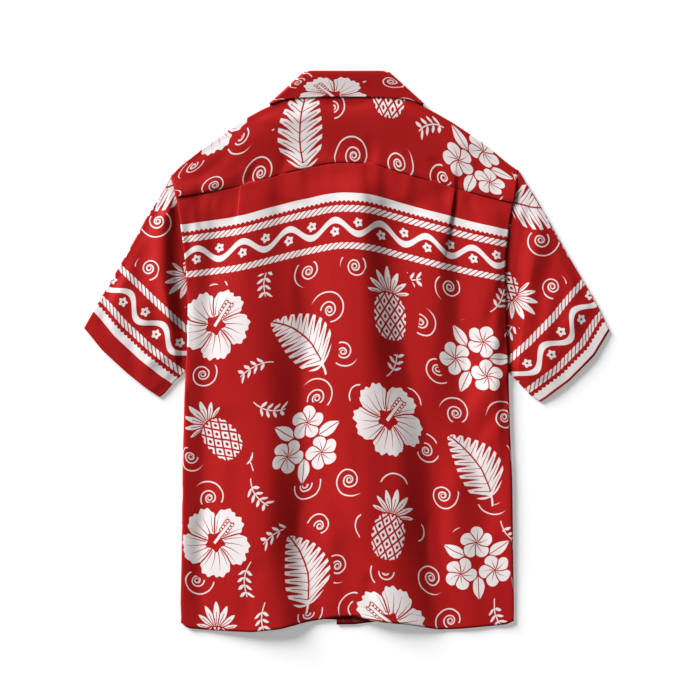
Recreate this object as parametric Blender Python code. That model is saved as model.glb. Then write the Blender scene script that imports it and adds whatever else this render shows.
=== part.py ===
"""A short-sleeved shirt with a camp collar, laid flat on its front with its back upwards.

All sizes are in millimetres and become metres where a mesh is made. +X is right and +Y is
towards the collar as the back is looked at, and +Z is up from the surface it lies on.
Each piece is a wall of cloth: a grid of columns and rows, put in place by a function that
gives the middle of the cloth, and thickened by half the wall to either side.
"""
import math
from collections import namedtuple

import bmesh
import bpy

MM = 0.001

# Cloth: wall, air between layers that lie on each other, air along a seam
WALL = 1.2
LAYER_AIR = 0.6
SEAM_AIR = 0.5
LAYER = WALL + LAYER_AIR
FLOOR = WALL / 2

# Body: side folds, the placket that runs down the fronts, and the buttons under it
RETURN_WIDTH = 45.0
RETURN_START = 4.0
RETURN_RUN = 60.0
EDGE_ROLL = 3.0
EDGE_ROLL_WIDTH = 38.0
EDGE_ROLL_TOP = 225.0
EDGE_ROLL_RISE = 40.0
EDGE_ROLL_AT_HEM = 0.45
EDGE_ROLL_HEM_RUN = 120.0
PLACKET_HALF = 13.0
PLACKET_SLOPE = 15.0
PLACKET_END = 255.0
PLACKET_FADE = 40.0
PLACKET_REACH = 6.0
BUTTON_RADIUS = 5.75
BUTTON_HEIGHT = 2.0
BUTTON_AIR = 0.3
BUTTON_ROWS = (155.0, 72.0, -11.0, -94.0, -177.0)
BUTTON_LIFT_TOP = 225.0
BUTTON_LIFT_FALL = 25.0
BUTTON_LIFT_END = 110.0
BUTTON_LIFT_RUN = 100.0
UNDERARM = 0.59

# Back panel, up its left and right edge: y, x
EDGE_LEFT = ((-360, -215.5), (-330, -216.2), (-253, -214.5), (-145, -213.3), (-60, -211.2),
             (-27, -209.6), (8, -207.2), (54, -206.3), (112, -209.2), (154, -214.5),
             (195.5, -220.4), (227.5, -228.3))
EDGE_RIGHT = ((-355, 217.6), (-333, 218), (-253, 216.8), (-167, 215.8), (-102, 212.8),
              (-58, 211.6), (-27, 210.8), (28, 208.5), (93, 206.4), (125, 207.2),
              (171, 212.6), (204, 219.6), (234.5, 224.3))
SIDE_X = {-1: -213.3, 1: 215.8}
# Hems and the arched seam under the yoke, from left to right: x, y
BACK_HEM = ((-216, -350), (-211, -357.5), (-205, -360.4), (-173, -363), (-123, -364.8),
            (-86, -360.6), (-50, -351.5), (-14, -345.9), (11, -344), (34, -350.5),
            (79, -354.9), (119, -361.8), (144, -361.3), (201, -356), (211, -354.4),
            (217.5, -349.7))
FRONT_HEM = ((-172, -351), (-86, -350), (-50, -348), (-30, -350), (-14, -355), (10, -355),
             (34, -351.7), (46, -348.5), (86, -349), (172, -350))
YOKE_SEAM = ((-222.3, 204), (-182, 211), (-141, 217.6), (-79, 235.8), (-19, 248.8),
             (-2, 249.5), (33, 247.5), (63, 238.4), (84, 231.9), (123, 221.5), (170, 208),
             (200, 200.5), (218, 196.4))
# Fold over the shoulders, and the neck seam between them: x, y
SHOULDER_LINE = ((-228.3, 227.4), (-219, 238.3), (-182, 268.5), (-134, 301.6),
                 (-106, 316.5), (-97, 319.9), (-80, 331.8), (-40, 337.2), (0, 338.3),
                 (40, 337), (80, 331.5), (97, 319.9), (106, 315.8), (137, 298.4),
                 (179, 270.5), (207, 247), (218.5, 238.6), (224.3, 234.5))
NECK_HALF = 80.0

# Seam between yoke and front, where it leaves the left and right armhole: x, y
FRONT_SEAM_LEFT = (-220.6, 196.5)
FRONT_SEAM_RIGHT = (219.6, 204.0)
FRONT_SEAM_NECK = 70.0

# Lapels, right side (the left one mirrors it). The front turns outwards on the roll line.
ROLL_BOTTOM = (3.0, 213.0)
ROLL_TOP = (47.0, 312.0)
PLACKET_TOP = 200.0
# Share of the way up the roll line, x, y of the lapel's free edge
LAPEL_EDGE = ((0.0, 9.0, 206.5), (0.2, 42.0, 214.0), (0.45, 80.0, 234.0),
              (0.7, 112.0, 262.0), (0.85, 97.0, 279.5), (1.0, 82.0, 296.6))
# Half-width of what the collar and lapels cover under the fronts: y, x
BIB = ((206, 15), (214, 45), (234, 84), (262, 115), (284, 124), (321, 104), (365, 60))
BIB_SLOPE = 20.0
FRONT_REACH = 10.0
BACK_REACH = 22.0

# Collar, right half (the left one mirrors it): neck seam, roll line and free edge, from the
# front end round to the shoulder: x, y of each
CollarStation = namedtuple("CollarStation", "seam roll edge")
COLLAR_FRONT = (CollarStation((50.5, 311.6), (47.0, 313.4), (122.0, 280.5)),
                CollarStation((67.5, 300.5), (48.0, 322.0), (115.0, 293.5)),
                CollarStation((73.0, 317.0), (50.5, 342.0), (108.0, 307.0)))
# and across the back, from the shoulder to the middle
COLLAR_BACK = (CollarStation((72.0, 333.8), (49.5, 365.0), (83.0, 328.0)),
               CollarStation((54.0, 336.3), (38.0, 365.0), (62.0, 329.6)),
               CollarStation((27.0, 338.6), (20.0, 365.0), (30.0, 330.8)),
               CollarStation((0.0, 339.2), (0.0, 365.0), (0.0, 331.0)))
COLLAR_FOLD = ((101.3, 322.6), (54.6, 365.2))
COLLAR_GROW = 0.4
COLLAR_ROLL = 2.8
COLLAR_PUFF = 1.6
# Over the shoulder, along the fold from its front end: the free edge, the neck seam's end, and
# how far before the other end the roll begins and how deep it is
COLLAR_EDGE_START = 0.5
COLLAR_STAND_START = 25.5
COLLAR_ROLL_INSET = 3.2
COLLAR_ROLL_DEPTH = 2.3

# Soft folds down the back: x of the crest at its top, middle and bottom, y of each, how far
# it rises, and the width of its left and right slopes
Fold = namedtuple("Fold", "x_top x_mid x_low y_top y_mid y_low rise left right")
FOLDS = (Fold(-112, -104, -84, 190, -60, -345, 5.4, 52, 44),
         Fold(6, 48, 84, 205, -40, -345, 5.6, 46, 46),
         Fold(117, 116, 128, 175, 10, -150, 4.4, 40, 36),
         Fold(182, 178, 180, 165, -20, -250, 3.4, 34, 26))
FOLD_FADE = 45.0
FOLD_TOP_LEFT = 0.2
FOLD_HEM_FADE = 80.0
FOLD_HEM_LEFT = 0.75
FRONT_SHARE = 0.5
FRONT_STAY = 1.0
FLAT_PLACKET_TOP = 200.0
FLAT_PLACKET_FADE = 70.0

# Pleats under the yoke: middle of the crease at the seam and where it has opened, outwards
Pleat = namedtuple("Pleat", "side x_top y_top x_low y_low")
PLEATS = (Pleat(-1, -137.5, 217, -147.0, 110), Pleat(1, 141.5, 214, 127.0, 120))
PLEAT_SHUT = 8.0
PLEAT_OPENS = 60.0
PLEAT_FADES = 120.0
# Each line of cloth through a pleat, outwards from its crease: x where it has opened, x at
# the yoke, lift in layers
PLEAT_LINES = ((-24, -24, 0.0), (-18, -16, 0.9), (-12, -8, 1.4), (-7, -2.4, 1.6),
               (-3, -0.7, 1.3), (0, 0.7, 0.3), (4, 2.4, 0.0), (9, 9, 0.0))

# Sleeves, left then right: armhole seam from the shoulder down, hem from its outer corner,
# outer edge and underside edge from the armhole to the hem; x, y of each point
SLEEVE_LEFT = {
    "armhole": ((-228.3, 227.4), (-220.4, 195.5), (-214.5, 154), (-209.2, 112),
                (-206.3, 54), (-207.2, 8), (-209.6, -27)),
    "hem": ((-341.6, 30.6), (-317.8, 1.4), (-285.4, -28.3), (-260.5, -48.2), (-243, -59.6)),
    "outer": ((-228.3, 227.4), (-235.5, 213), (-261.6, 172), (-270, 155), (-295.4, 110.9),
              (-320.2, 68.6), (-341.6, 30.6)),
    "under": ((-209.6, -27), (-223, -38.5), (-236.5, -54.5), (-243, -59.6))}
SLEEVE_RIGHT = {
    "armhole": ((224.3, 234.5), (219.6, 204), (212.6, 171), (207.2, 125), (206.4, 93),
                (208.5, 28), (210.8, -27)),
    "hem": ((342.2, 27), (322.3, -6), (290, -38.4), (258.8, -61.9), (252.5, -65.8)),
    "outer": ((224.3, 234.5), (234, 219), (249.5, 193.5), (262.6, 170.6), (287.6, 125.8),
              (309.9, 88.5), (324.9, 63.7), (342.2, 27)),
    "under": ((210.8, -27), (226, -43), (240.2, -58.2), (252.5, -65.8))}
# Relief of a sleeve's upper layer by its share of the way to the hem: share, lift
SLEEVE_RELIEF = ((0.0, 1.6), (0.06, 0.7), (0.13, 0.7), (0.26, 3.1), (0.55, 2.4), (0.8, 1.4),
                 (1.0, 0.9))

RED = (0.53, 0.026, 0.03, 1.0)
SHELL = (0.86, 0.82, 0.74, 1.0)


def step(t):
    """0 to 1 with soft ends as t goes from 0 to 1."""
    t = min(1.0, max(0.0, t))
    return t * t * (3 - 2 * t)


def read(table, key, column=1):
    """A value read along a table with straight stretches between its rows."""
    low = table[0]
    for high in table[1:]:
        if key <= high[0]:
            break
        low = high
    share = (key - low[0]) / (high[0] - low[0]) if high[0] != low[0] else 0.0
    share = min(1.0, max(0.0, share))
    return low[column] + (high[column] - low[column]) * share


def soft_read(table, key, column=1, reach=4.0):
    """The same with its corners rounded over a short reach."""
    near = (-1.0, -0.5, 0.0, 0.5, 1.0)
    return sum(read(table, key + reach * n, column) for n in near) / len(near)


def along(points, share):
    """The point at a share of the length of a line of points."""
    lengths = [math.dist(a, b) for a, b in zip(points, points[1:])]
    left = share * sum(lengths)
    for a, b, length in zip(points, points[1:], lengths):
        if left <= length + 1e-9:
            return mix(a, b, left / length)
        left -= length
    return points[-1]


def mix(a, b, share):
    return tuple(p + (q - p) * share for p, q in zip(a, b))


def mirrored(point, side):
    return (point[0] * side, point[1])


# ---- heights of the layers -------------------------------------------------------------

def bib(x, y, reach):
    """1 within reach of where the collar and lapels lie under the fronts, 0 clear of them."""
    across = (read(BIB, y + reach) + reach + BIB_SLOPE - abs(x)) / BIB_SLOPE
    up = (y - BIB[0][0] + reach + BIB_SLOPE) / BIB_SLOPE
    return step(across) * step(up)


def placket(x, y, reach):
    """1 within reach of the placket, falling to 0 beside it and above it."""
    across = (PLACKET_HALF + reach + PLACKET_SLOPE - abs(x)) / PLACKET_SLOPE
    return step(across) * step((PLACKET_END + reach - y) / PLACKET_FADE)


def button_lift(x, y, reach):
    """How far the buttons hold the placket up."""
    top = step((BUTTON_LIFT_TOP + reach - y) / BUTTON_LIFT_FALL)
    low = step((y - BUTTON_ROWS[-1] + BUTTON_LIFT_END) / BUTTON_LIFT_RUN)
    return (BUTTON_HEIGHT + BUTTON_AIR) * top * low * placket(x, y, reach)


def fold_relief(x, y):
    """Rise of the soft folds down the back."""
    rise = 0.0
    for fold in FOLDS:
        if y > fold.y_mid:
            share = min(1.0, (y - fold.y_mid) / (fold.y_top - fold.y_mid))
            crest = fold.x_mid + (fold.x_top - fold.x_mid) * share
        else:
            share = min(1.0, (fold.y_mid - y) / (fold.y_mid - fold.y_low))
            crest = fold.x_mid + (fold.x_low - fold.x_mid) * share
        top_end = step((fold.y_top - y) / FOLD_FADE + FOLD_TOP_LEFT)
        ends = top_end * step((y - fold.y_low) / FOLD_HEM_FADE + FOLD_HEM_LEFT)
        width = fold.left if x < crest else fold.right
        across = step(1 - abs(x - crest) / width)
        rise = max(rise, fold.rise * ends * across)
    return rise


def front_middle(x, y, over=0.0):
    """Middle of the fronts' cloth, which follows the folds halfway except at the placket;
    over is 1 on the front that laps over the other."""
    at_placket = placket(x, y, 0)
    flat = at_placket * step((FLAT_PLACKET_TOP - y) / FLAT_PLACKET_FADE)
    lift = FRONT_SHARE * max(0.0, fold_relief(x, y) - FRONT_STAY) * (1 - flat)
    layers = bib(x, y, FRONT_REACH) + over * at_placket
    return FLOOR + LAYER * layers + button_lift(x, y, 0) + lift


def edge_roll(x, y):
    """The back swells beside its side folds and armholes."""
    inset = min(x - read(EDGE_LEFT, y), read(EDGE_RIGHT, y) - x)
    high = step((EDGE_ROLL_TOP - y) / EDGE_ROLL_RISE)
    above_hem = step((y - BACK_HEM[0][1]) / EDGE_ROLL_HEM_RUN)
    low = EDGE_ROLL_AT_HEM + (1 - EDGE_ROLL_AT_HEM) * above_hem
    return EDGE_ROLL * high * low * (1 - step(inset / EDGE_ROLL_WIDTH))


def back_middle(x, y):
    """Middle of the back's cloth, which lies over both fronts."""
    layers = 1 + bib(x, y, BACK_REACH) + placket(x, y, PLACKET_REACH)
    base = FLOOR + LAYER * layers + button_lift(x, y, PLACKET_REACH)
    return base + max(fold_relief(x, y), edge_roll(x, y))


# ---- making a piece --------------------------------------------------------------------

def material(name, colour, roughness):
    made = bpy.data.materials.new(name)
    made.use_nodes = True
    shader = made.node_tree.nodes["Principled BSDF"]
    shader.inputs["Base Color"].default_value = colour
    shader.inputs["Roughness"].default_value = roughness
    shader.inputs["Metallic"].default_value = 0.0
    return made


def add_object(name, bm, finish):
    mesh = bpy.data.meshes.new(name)
    bm.to_mesh(mesh)
    bm.free()
    mesh.shade_smooth()
    mesh.materials.append(finish)
    made = bpy.data.objects.new(name, mesh)
    bpy.context.collection.objects.link(made)
    return made


def cloth(name, columns, rows, place, keep=None, closed=False, flip=False, even=True):
    """A wall of cloth from a grid. place(column, row) gives its middle in millimetres, and
    keep(column, row) says which cells are cloth."""
    bm = bmesh.new()
    bmesh.ops.create_grid(bm, x_segments=columns, y_segments=rows, size=1.0)
    for vert in bm.verts:
        column = round((vert.co.x + 1) / 2 * columns)
        row = round((vert.co.y + 1) / 2 * rows)
        vert.co = (column, row, 0)
    if keep:
        spare = [f for f in bm.faces
                 if not keep(int(f.calc_center_median().x), int(f.calc_center_median().y))]
        bmesh.ops.delete(bm, geom=spare, context="FACES")
    for vert in bm.verts:
        point = place(round(vert.co.x), round(vert.co.y))
        vert.co = tuple(value * MM for value in point)
    if closed:
        bmesh.ops.remove_doubles(bm, verts=bm.verts, dist=0.01 * MM)
    if flip:
        bmesh.ops.reverse_faces(bm, faces=bm.faces)
    made = add_object(name, bm, material(name + "_cloth", RED, 0.75))
    wall = made.modifiers.new("wall", "SOLIDIFY")
    wall.thickness = WALL * MM
    wall.offset = 0.0
    wall.use_even_offset = even
    wall.use_quality_normals = True
    return made


def turned(edge, inwards, top, low, angle):
    """A point on the half-round fold at an edge, from -90 under it to 90 on top of it."""
    radius = (top - low) / 2
    inset = WALL / 2 + radius - radius * math.cos(math.radians(angle))
    return (edge[0] + inwards[0] * inset, edge[1] + inwards[1] * inset,
            (top + low) / 2 + radius * math.sin(math.radians(angle)))


# ---- back ------------------------------------------------------------------------------

# Down the back from the yoke seam, measured at the side: rows close together at the pleats
BACK_ROWS = (0, 8, 17, 27, 38, 50, 64, 82, 104, 128, 152, 178, 205, 232, 256, 282, 308, 334,
             360, 386, 412, 438, 464, 490, 516, 540, 556, 566)
BACK_LENGTH = BACK_ROWS[-1]
WRAP = (("return", 0.0), ("return", 0.5), ("return", 1.0), ("turn", -45), ("turn", 0),
        ("turn", 45))


# Columns between the pleats, closer together over the placket
BACK_MIDDLE = (-98, -82, -66, -52, -40, -30, -21, -13, 0, 13, 21, 30, 40, 52, 66, 82, 96)


def back_columns():
    """Columns across the back: shares of the stretches beside and between the pleats, and
    the lines of cloth through each pleat."""
    lines = len(PLEAT_LINES)
    columns = [("left side", n / 4) for n in range(4)]
    columns += [("left pleat", line) for line in reversed(range(lines))]
    columns += [("middle", x) for x in BACK_MIDDLE]
    columns += [("right pleat", line) for line in range(lines)]
    columns += [("right side", n / 4) for n in range(1, 5)]
    return columns


BACK_ACROSS = back_columns()
BACK_COLUMNS = len(BACK_ACROSS) + 2 * len(WRAP)


def pleat_point(pleat, line, y):
    """x and lift of one line of a pleat: flat folded at the yoke, opening further down."""
    laid, pleated, lift = PLEAT_LINES[line]
    down = max(0.0, pleat.y_top - y)
    run = pleat.y_top - pleat.y_low
    crease = pleat.x_top + (pleat.x_low - pleat.x_top) * min(1.0, down / run)
    spreading = step((down - PLEAT_SHUT) / PLEAT_OPENS)
    level = 1 - step((down - PLEAT_OPENS - PLEAT_SHUT) / (PLEAT_FADES - PLEAT_OPENS))
    return crease + pleat.side * (pleated + (laid - pleated) * spreading), lift * level


def back_y(x, share):
    """y at a share of the way up from the back hem to the yoke seam."""
    low = soft_read(BACK_HEM, x)
    return low + (seam_y(x) - SEAM_AIR / 2 - low) * share


def seam_y(x):
    return soft_read(YOKE_SEAM, x, reach=14.0)


def back_place(column, row):
    share = 1 - BACK_ROWS[row] / BACK_LENGTH
    wrap = len(WRAP)
    if column < wrap:
        return back_wrap(-1, WRAP[column], share)
    if column >= wrap + len(BACK_ACROSS):
        return back_wrap(1, WRAP[BACK_COLUMNS - 1 - column], share)
    kind, value = BACK_ACROSS[column - wrap]
    if kind.endswith("pleat"):
        pleat = PLEATS[0] if kind.startswith("left") else PLEATS[1]
        x, lift = pleat_point(pleat, value, back_y(pleat.x_top, share))
    else:
        x, lift = back_between(kind, value, share), 0.0
    y = back_y(x, share)
    return x, y, back_middle(x, y) + lift * LAYER


def back_between(stretch, value, share):
    """x of a column beside or between the pleats."""
    if stretch == "middle":
        return value
    pleat = PLEATS[0] if stretch == "left side" else PLEATS[1]
    outer = pleat_point(pleat, len(PLEAT_LINES) - 1, back_y(pleat.x_top, share))[0]
    edge = back_edge(pleat.side, share)[0]
    return edge + (outer - edge) * value if pleat.side < 0 else outer + (edge - outer) * value


def back_edge(side, share):
    """Where the top of the back ends at a side: at the armhole seam, or where it turns."""
    table = EDGE_LEFT if side < 0 else EDGE_RIGHT
    y = back_y(SIDE_X[side], share)
    x = read(table, y)
    if share > UNDERARM + 0.001:
        return x - side * SEAM_AIR / 2, y
    top = back_middle(x, y)
    return x - side * (WALL / 2 + (top - FLOOR) / 2), y


def back_wrap(side, part, share):
    """The back's side fold and the strip that it turns under the fronts' level."""
    table = EDGE_LEFT if side < 0 else EDGE_RIGHT
    x_turn, y_side = back_edge(side, min(share, UNDERARM))
    y = back_y(x_turn, share)
    x = read(table, y_side)
    top = back_middle(x, y)
    kind, value = part
    if kind == "turn":
        return turned((x, y), (-side, 0), top, FLOOR, value)
    width = return_width(share)
    return x_turn - side * width * (1 - value), y, FLOOR


def return_width(share):
    """Width of the strip turned under, from the underarm down."""
    down = (UNDERARM - share) * BACK_LENGTH
    return RETURN_START + (RETURN_WIDTH - RETURN_START) * step(down / RETURN_RUN)


def back_keep(column, row):
    wrap = len(WRAP)
    inside = wrap <= column < BACK_COLUMNS - wrap - 1
    share = 1 - BACK_ROWS[row] / BACK_LENGTH
    return inside or share <= UNDERARM + 0.001


def build_back():
    cloth("back", BACK_COLUMNS - 1, len(BACK_ROWS) - 1, back_place, back_keep, flip=True)


# ---- yoke ------------------------------------------------------------------------------

YOKE_SIDE_COLUMNS = 8
YOKE_MIDDLE_COLUMNS = 8
YOKE_ROWS = 5
YOKE_TURN = (60, 30, 0, -30, -60, -90)
YOKE_UNDER_ROWS = 2


def front_seam(side, share):
    """A point of the seam between yoke and front, from the armhole to the neck."""
    armhole = FRONT_SEAM_LEFT if side < 0 else FRONT_SEAM_RIGHT
    end = mirrored(ROLL_TOP, side)
    neck = (abs(armhole[0]) - FRONT_SEAM_NECK) / (abs(armhole[0]) - ROLL_TOP[0])
    return mix(armhole, end, neck * share)


def yoke_ends(column):
    """The bottom and top of a column of the yoke, and its seam point on the front."""
    side_count, middle = YOKE_SIDE_COLUMNS, YOKE_MIDDLE_COLUMNS
    left_end, right_end = SHOULDER_LINE[0][0], SHOULDER_LINE[-1][0]
    low_left, low_right = YOKE_SEAM[0][0], YOKE_SEAM[-1][0]
    if column <= side_count:
        share = column / side_count
        top_x = left_end + (-NECK_HALF - left_end) * share
        low_x = low_left + (-NECK_HALF - low_left) * share
        seam = front_seam(-1, share)
    elif column >= side_count + middle:
        share = (column - side_count - middle) / side_count
        top_x = NECK_HALF + (right_end - NECK_HALF) * share
        low_x = NECK_HALF + (low_right - NECK_HALF) * share
        seam = front_seam(1, 1 - share)
    else:
        share = (column - side_count) / middle
        top_x = low_x = -NECK_HALF + 2 * NECK_HALF * share
        seam = (top_x, 0)
    last = 2 * side_count + middle
    shift = SEAM_AIR * ((column == 0) - (column == last)) / 2
    top = (top_x + shift, read(SHOULDER_LINE, top_x))
    low = (low_x + shift, seam_y(low_x) + SEAM_AIR / 2)
    return low, top, (seam[0] + shift, seam[1] + SEAM_AIR / 2)


def yoke_place(column, row):
    low, top, seam = yoke_ends(column)
    neck = YOKE_SIDE_COLUMNS < column < YOKE_SIDE_COLUMNS + YOKE_MIDDLE_COLUMNS
    length = math.dist(low, top)
    inwards = tuple((a - b) / length for a, b in zip(low, top))
    high, under = back_middle(*top), front_middle(*top)
    flat = 0 if neck else (high - under) / 2 + WALL / 2
    end = tuple(p + d * flat for p, d in zip(top, inwards))
    if row <= YOKE_ROWS:
        x, y = mix(low, end, row / YOKE_ROWS)
        return x, y, back_middle(x, y)
    turn = row - YOKE_ROWS - 1
    if turn < len(YOKE_TURN):
        return turned(top, inwards, high, under, YOKE_TURN[turn])
    share = (turn - len(YOKE_TURN) + 1) / YOKE_UNDER_ROWS
    x, y = mix(end, seam, share)
    return x, y, front_middle(x, y)


def yoke_keep(column, row):
    neck = YOKE_SIDE_COLUMNS <= column < YOKE_SIDE_COLUMNS + YOKE_MIDDLE_COLUMNS
    return row < YOKE_ROWS or not neck


def build_yoke():
    columns = 2 * YOKE_SIDE_COLUMNS + YOKE_MIDDLE_COLUMNS
    rows = YOKE_ROWS + len(YOKE_TURN) + YOKE_UNDER_ROWS
    cloth("yoke", columns, rows, yoke_place, yoke_keep)


# ---- fronts ----------------------------------------------------------------------------

FRONT_PLAIN_COLUMNS = 11
# Last columns before the placket's edge, from its middle line
PLACKET_COLUMNS = (30, 21, 13, 0)
FRONT_TURN = (45, 0, -45, -90)
LAPEL_COLUMNS = 4
# Rows of a front: at the side they match the back's rows up to the underarm. At the middle
# the low rows end on the placket's edge, and the rest are shares up the roll line.
SIDE_SHARES = [1 - down / BACK_LENGTH for down in reversed(BACK_ROWS)
               if down >= (1 - UNDERARM) * BACK_LENGTH - 1]
FRONT_LOW_ROWS = 18
FRONT_HEM_ROWS = 4
FRONT_UNDERARM_RISE = 5.0
LAPEL_ROWS = (0.0, 0.2, 0.45, 0.7, 0.85, 1.0)


def front_outer(side, row):
    """Outer end of a front's row: along the side seam, then the armhole."""
    edge = EDGE_LEFT if side < 0 else EDGE_RIGHT
    top = front_seam(side, 0)[1] - SEAM_AIR / 2
    last = FRONT_LOW_ROWS + len(LAPEL_ROWS)
    under_row = len(SIDE_SHARES) - 1
    if row <= under_row:
        share = SIDE_SHARES[row]
        turn_x = back_edge(side, share)[0]
        return turn_x - side * (return_width(share) + SEAM_AIR), back_y(turn_x, share)
    underarm = back_y(SIDE_X[side], UNDERARM) + FRONT_UNDERARM_RISE
    y = underarm + (top - underarm) * (row - under_row - 1) / (last - under_row - 1)
    return read(edge, y) - side * SEAM_AIR / 2, y


def front_inner(side, row):
    """Inner end of a front's row: placket edge, then the roll line."""
    if row <= FRONT_LOW_ROWS:
        low = read(FRONT_HEM, -side * PLACKET_HALF)
        y = low + (PLACKET_TOP - low) * row / FRONT_LOW_ROWS
        return -side * PLACKET_HALF, y
    return mirrored(mix(ROLL_BOTTOM, ROLL_TOP, LAPEL_ROWS[row - FRONT_LOW_ROWS - 1]), side)


def front_across(side, row):
    """Shares across a front's row for its columns."""
    outer, inner = front_outer(side, row), front_inner(side, row)
    width = abs(outer[0] - inner[0])
    fixed = [1 - (PLACKET_HALF + line) / width for line in PLACKET_COLUMNS]
    return [fixed[0] * n / FRONT_PLAIN_COLUMNS for n in range(FRONT_PLAIN_COLUMNS)] + fixed


def lapel_end(side, row):
    share = LAPEL_ROWS[max(0, row - FRONT_LOW_ROWS - 1)]
    x, y = read(LAPEL_EDGE, share, 1), read(LAPEL_EDGE, share, 2)
    return x * side, y


def front_place(side, column, row):
    over = 1.0 if side > 0 else 0.0
    shares = front_across(side, row)
    outer, inner = front_outer(side, row), front_inner(side, row)
    rolled = row > FRONT_LOW_ROWS
    end = lapel_end(side, row)
    length = math.dist(inner, end)
    outwards = tuple((a - b) / length for a, b in zip(end, inner))
    top = front_middle(inner[0], inner[1], over)
    inset = WALL / 2 + (top - FLOOR) / 2
    last = len(shares)
    if column < last:
        x, y = mix(outer, inner, shares[column])
        if row < FRONT_HEM_ROWS:
            chord = mix(front_outer(side, 0), front_inner(side, 0), shares[column])
            y += (read(FRONT_HEM, x) - chord[1]) * (1 - row / FRONT_HEM_ROWS)
        return x, y, front_middle(x, y, over)
    if column == last:
        if not rolled:
            return inner[0], inner[1], top
        x, y = inner[0] + outwards[0] * inset, inner[1] + outwards[1] * inset
        return x, y, top
    turn = column - last - 1
    if turn < len(FRONT_TURN):
        return turned(inner, outwards, top, FLOOR, FRONT_TURN[turn])
    share = (turn - len(FRONT_TURN) + 1) / LAPEL_COLUMNS
    start = tuple(p + d * inset for p, d in zip(inner, outwards))
    x, y = mix(start, end, share)
    return x, y, FLOOR


def build_front(name, side):
    body = FRONT_PLAIN_COLUMNS + len(PLACKET_COLUMNS)
    columns = body + len(FRONT_TURN) + LAPEL_COLUMNS
    rows = FRONT_LOW_ROWS + len(LAPEL_ROWS)

    def place(column, row):
        return front_place(side, column, row)

    def keep(column, row):
        return column < body or row > FRONT_LOW_ROWS

    cloth(name, columns, rows, place, keep, flip=side > 0)


# ---- sleeves ---------------------------------------------------------------------------

SLEEVE_ACROSS = 9
SLEEVE_TURN = (60, 20, -20, -60)
SLEEVE_EDGE_SHARE = 0.35
SLEEVE_NEAR = 0.03
SLEEVE_ALONG = (0.0, 0.05, 0.1, 0.17, 0.26, 0.4, 0.55, 0.7, 0.85, 1.0)


def sleeve_flat(shape, side, across, share):
    """A point of the flat sleeve, between its four edges."""
    armhole, hem = along(shape["armhole"], across), along(shape["hem"], across)
    armhole = (armhole[0] + side * SEAM_AIR / 2, armhole[1])
    outer, under = along(shape["outer"], share), along(shape["under"], share)
    corners = (shape["armhole"][0], shape["armhole"][-1], shape["hem"][0], shape["hem"][-1])
    lengthwise = mix(armhole, hem, share)
    crosswise = mix(outer, under, across)
    twice = mix(mix(corners[0], corners[1], across), mix(corners[2], corners[3], across),
                share)
    return tuple(a + b - c for a, b, c in zip(lengthwise, crosswise, twice))


def sleeve_place(shape, side, column, row):
    share = SLEEVE_ALONG[row]
    round_turn = SLEEVE_ACROSS + len(SLEEVE_TURN)
    column = column % (2 * round_turn)
    relief = read(SLEEVE_RELIEF, share)
    edge_top = FLOOR + LAYER + SLEEVE_EDGE_SHARE * relief
    ends = (sleeve_flat(shape, side, 0.0, share), sleeve_flat(shape, side, 1.0, share))
    length = math.dist(*ends)
    inset = (WALL / 2 + (edge_top - FLOOR) / 2) / length
    upper = column <= SLEEVE_ACROSS
    if upper or round_turn <= column <= round_turn + SLEEVE_ACROSS:
        step_in = column if upper else round_turn + SLEEVE_ACROSS - column
        across = inset + (1 - 2 * inset) * step_in / SLEEVE_ACROSS
        x, y = sleeve_flat(shape, side, across, share)
        swell = math.sin(math.pi * step_in / SLEEVE_ACROSS)
        top = edge_top + (1 - SLEEVE_EDGE_SHARE) * relief * swell
        return x, y, top if upper else FLOOR
    first = column < round_turn
    turn = column - SLEEVE_ACROSS - 1 - (0 if first else round_turn)
    angle = SLEEVE_TURN[turn] if first else SLEEVE_TURN[::-1][turn]
    edge, near = (1.0, 1 - SLEEVE_NEAR) if first else (0.0, SLEEVE_NEAR)
    at = sleeve_flat(shape, side, edge, share)
    inner = sleeve_flat(shape, side, near, share)
    reach = math.dist(at, inner)
    inwards = tuple((q - p) / reach for p, q in zip(at, inner))
    return turned(at, inwards, edge_top, FLOOR, angle)


def build_sleeve(name, side, shape):
    columns = 2 * (SLEEVE_ACROSS + len(SLEEVE_TURN)) + 2

    def place(column, row):
        return sleeve_place(shape, side, column, row)

    cloth(name, columns, len(SLEEVE_ALONG) - 1, place, closed=True, flip=side > 0)


# ---- collar ----------------------------------------------------------------------------

COLLAR_TURN = (-90, -45, 0, 45, 90)
# Lines along the collar: kind and share across the stand, the roll or the fall
COLLAR_LINES = (("stand", 0.0), ("stand", 0.5), ("stand", 1.0), ("roll", 45), ("roll", 0),
                ("roll", -45), ("fall", 0.0), ("fall", 0.35), ("fall", 0.7), ("fall", 1.0))


def collar_stations():
    """Stations from the wearer's left end (-1) to the right end (1)."""
    half = [("front", n) for n in range(len(COLLAR_FRONT))]
    half += [("turn", angle) for angle in COLLAR_TURN]
    half += [("back", n) for n in range(len(COLLAR_BACK))]
    return [(-1, s) for s in half] + [(1, s) for s in reversed(half[:-1])]


def hairpin(station, heights, line):
    """A point of the collar's section at a station: stand, roll and fall. The heights are
    those of the neck seam, the stand's top, the fall's top and the free edge."""
    kind, value = line
    seam, roll, edge = station
    seam_z, stand_z, fall_z, edge_z = heights
    radius = abs(fall_z - stand_z) / 2
    reach = math.dist(roll, edge)
    inwards = tuple((b - a) / reach for a, b in zip(roll, edge))
    inset = radius + WALL / 2
    turn = tuple(p + d * inset for p, d in zip(roll, inwards))
    if kind == "roll":
        angle = value if stand_z > fall_z else -value
        return turned(roll, inwards, max(stand_z, fall_z), min(stand_z, fall_z), angle)
    if kind == "stand":
        x, y = mix(seam, turn, value)
        return x, y, seam_z + (stand_z - seam_z) * value
    x, y = mix(turn, edge, value)
    return x, y, fall_z + (edge_z - fall_z) * step(value / 0.9)


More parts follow.
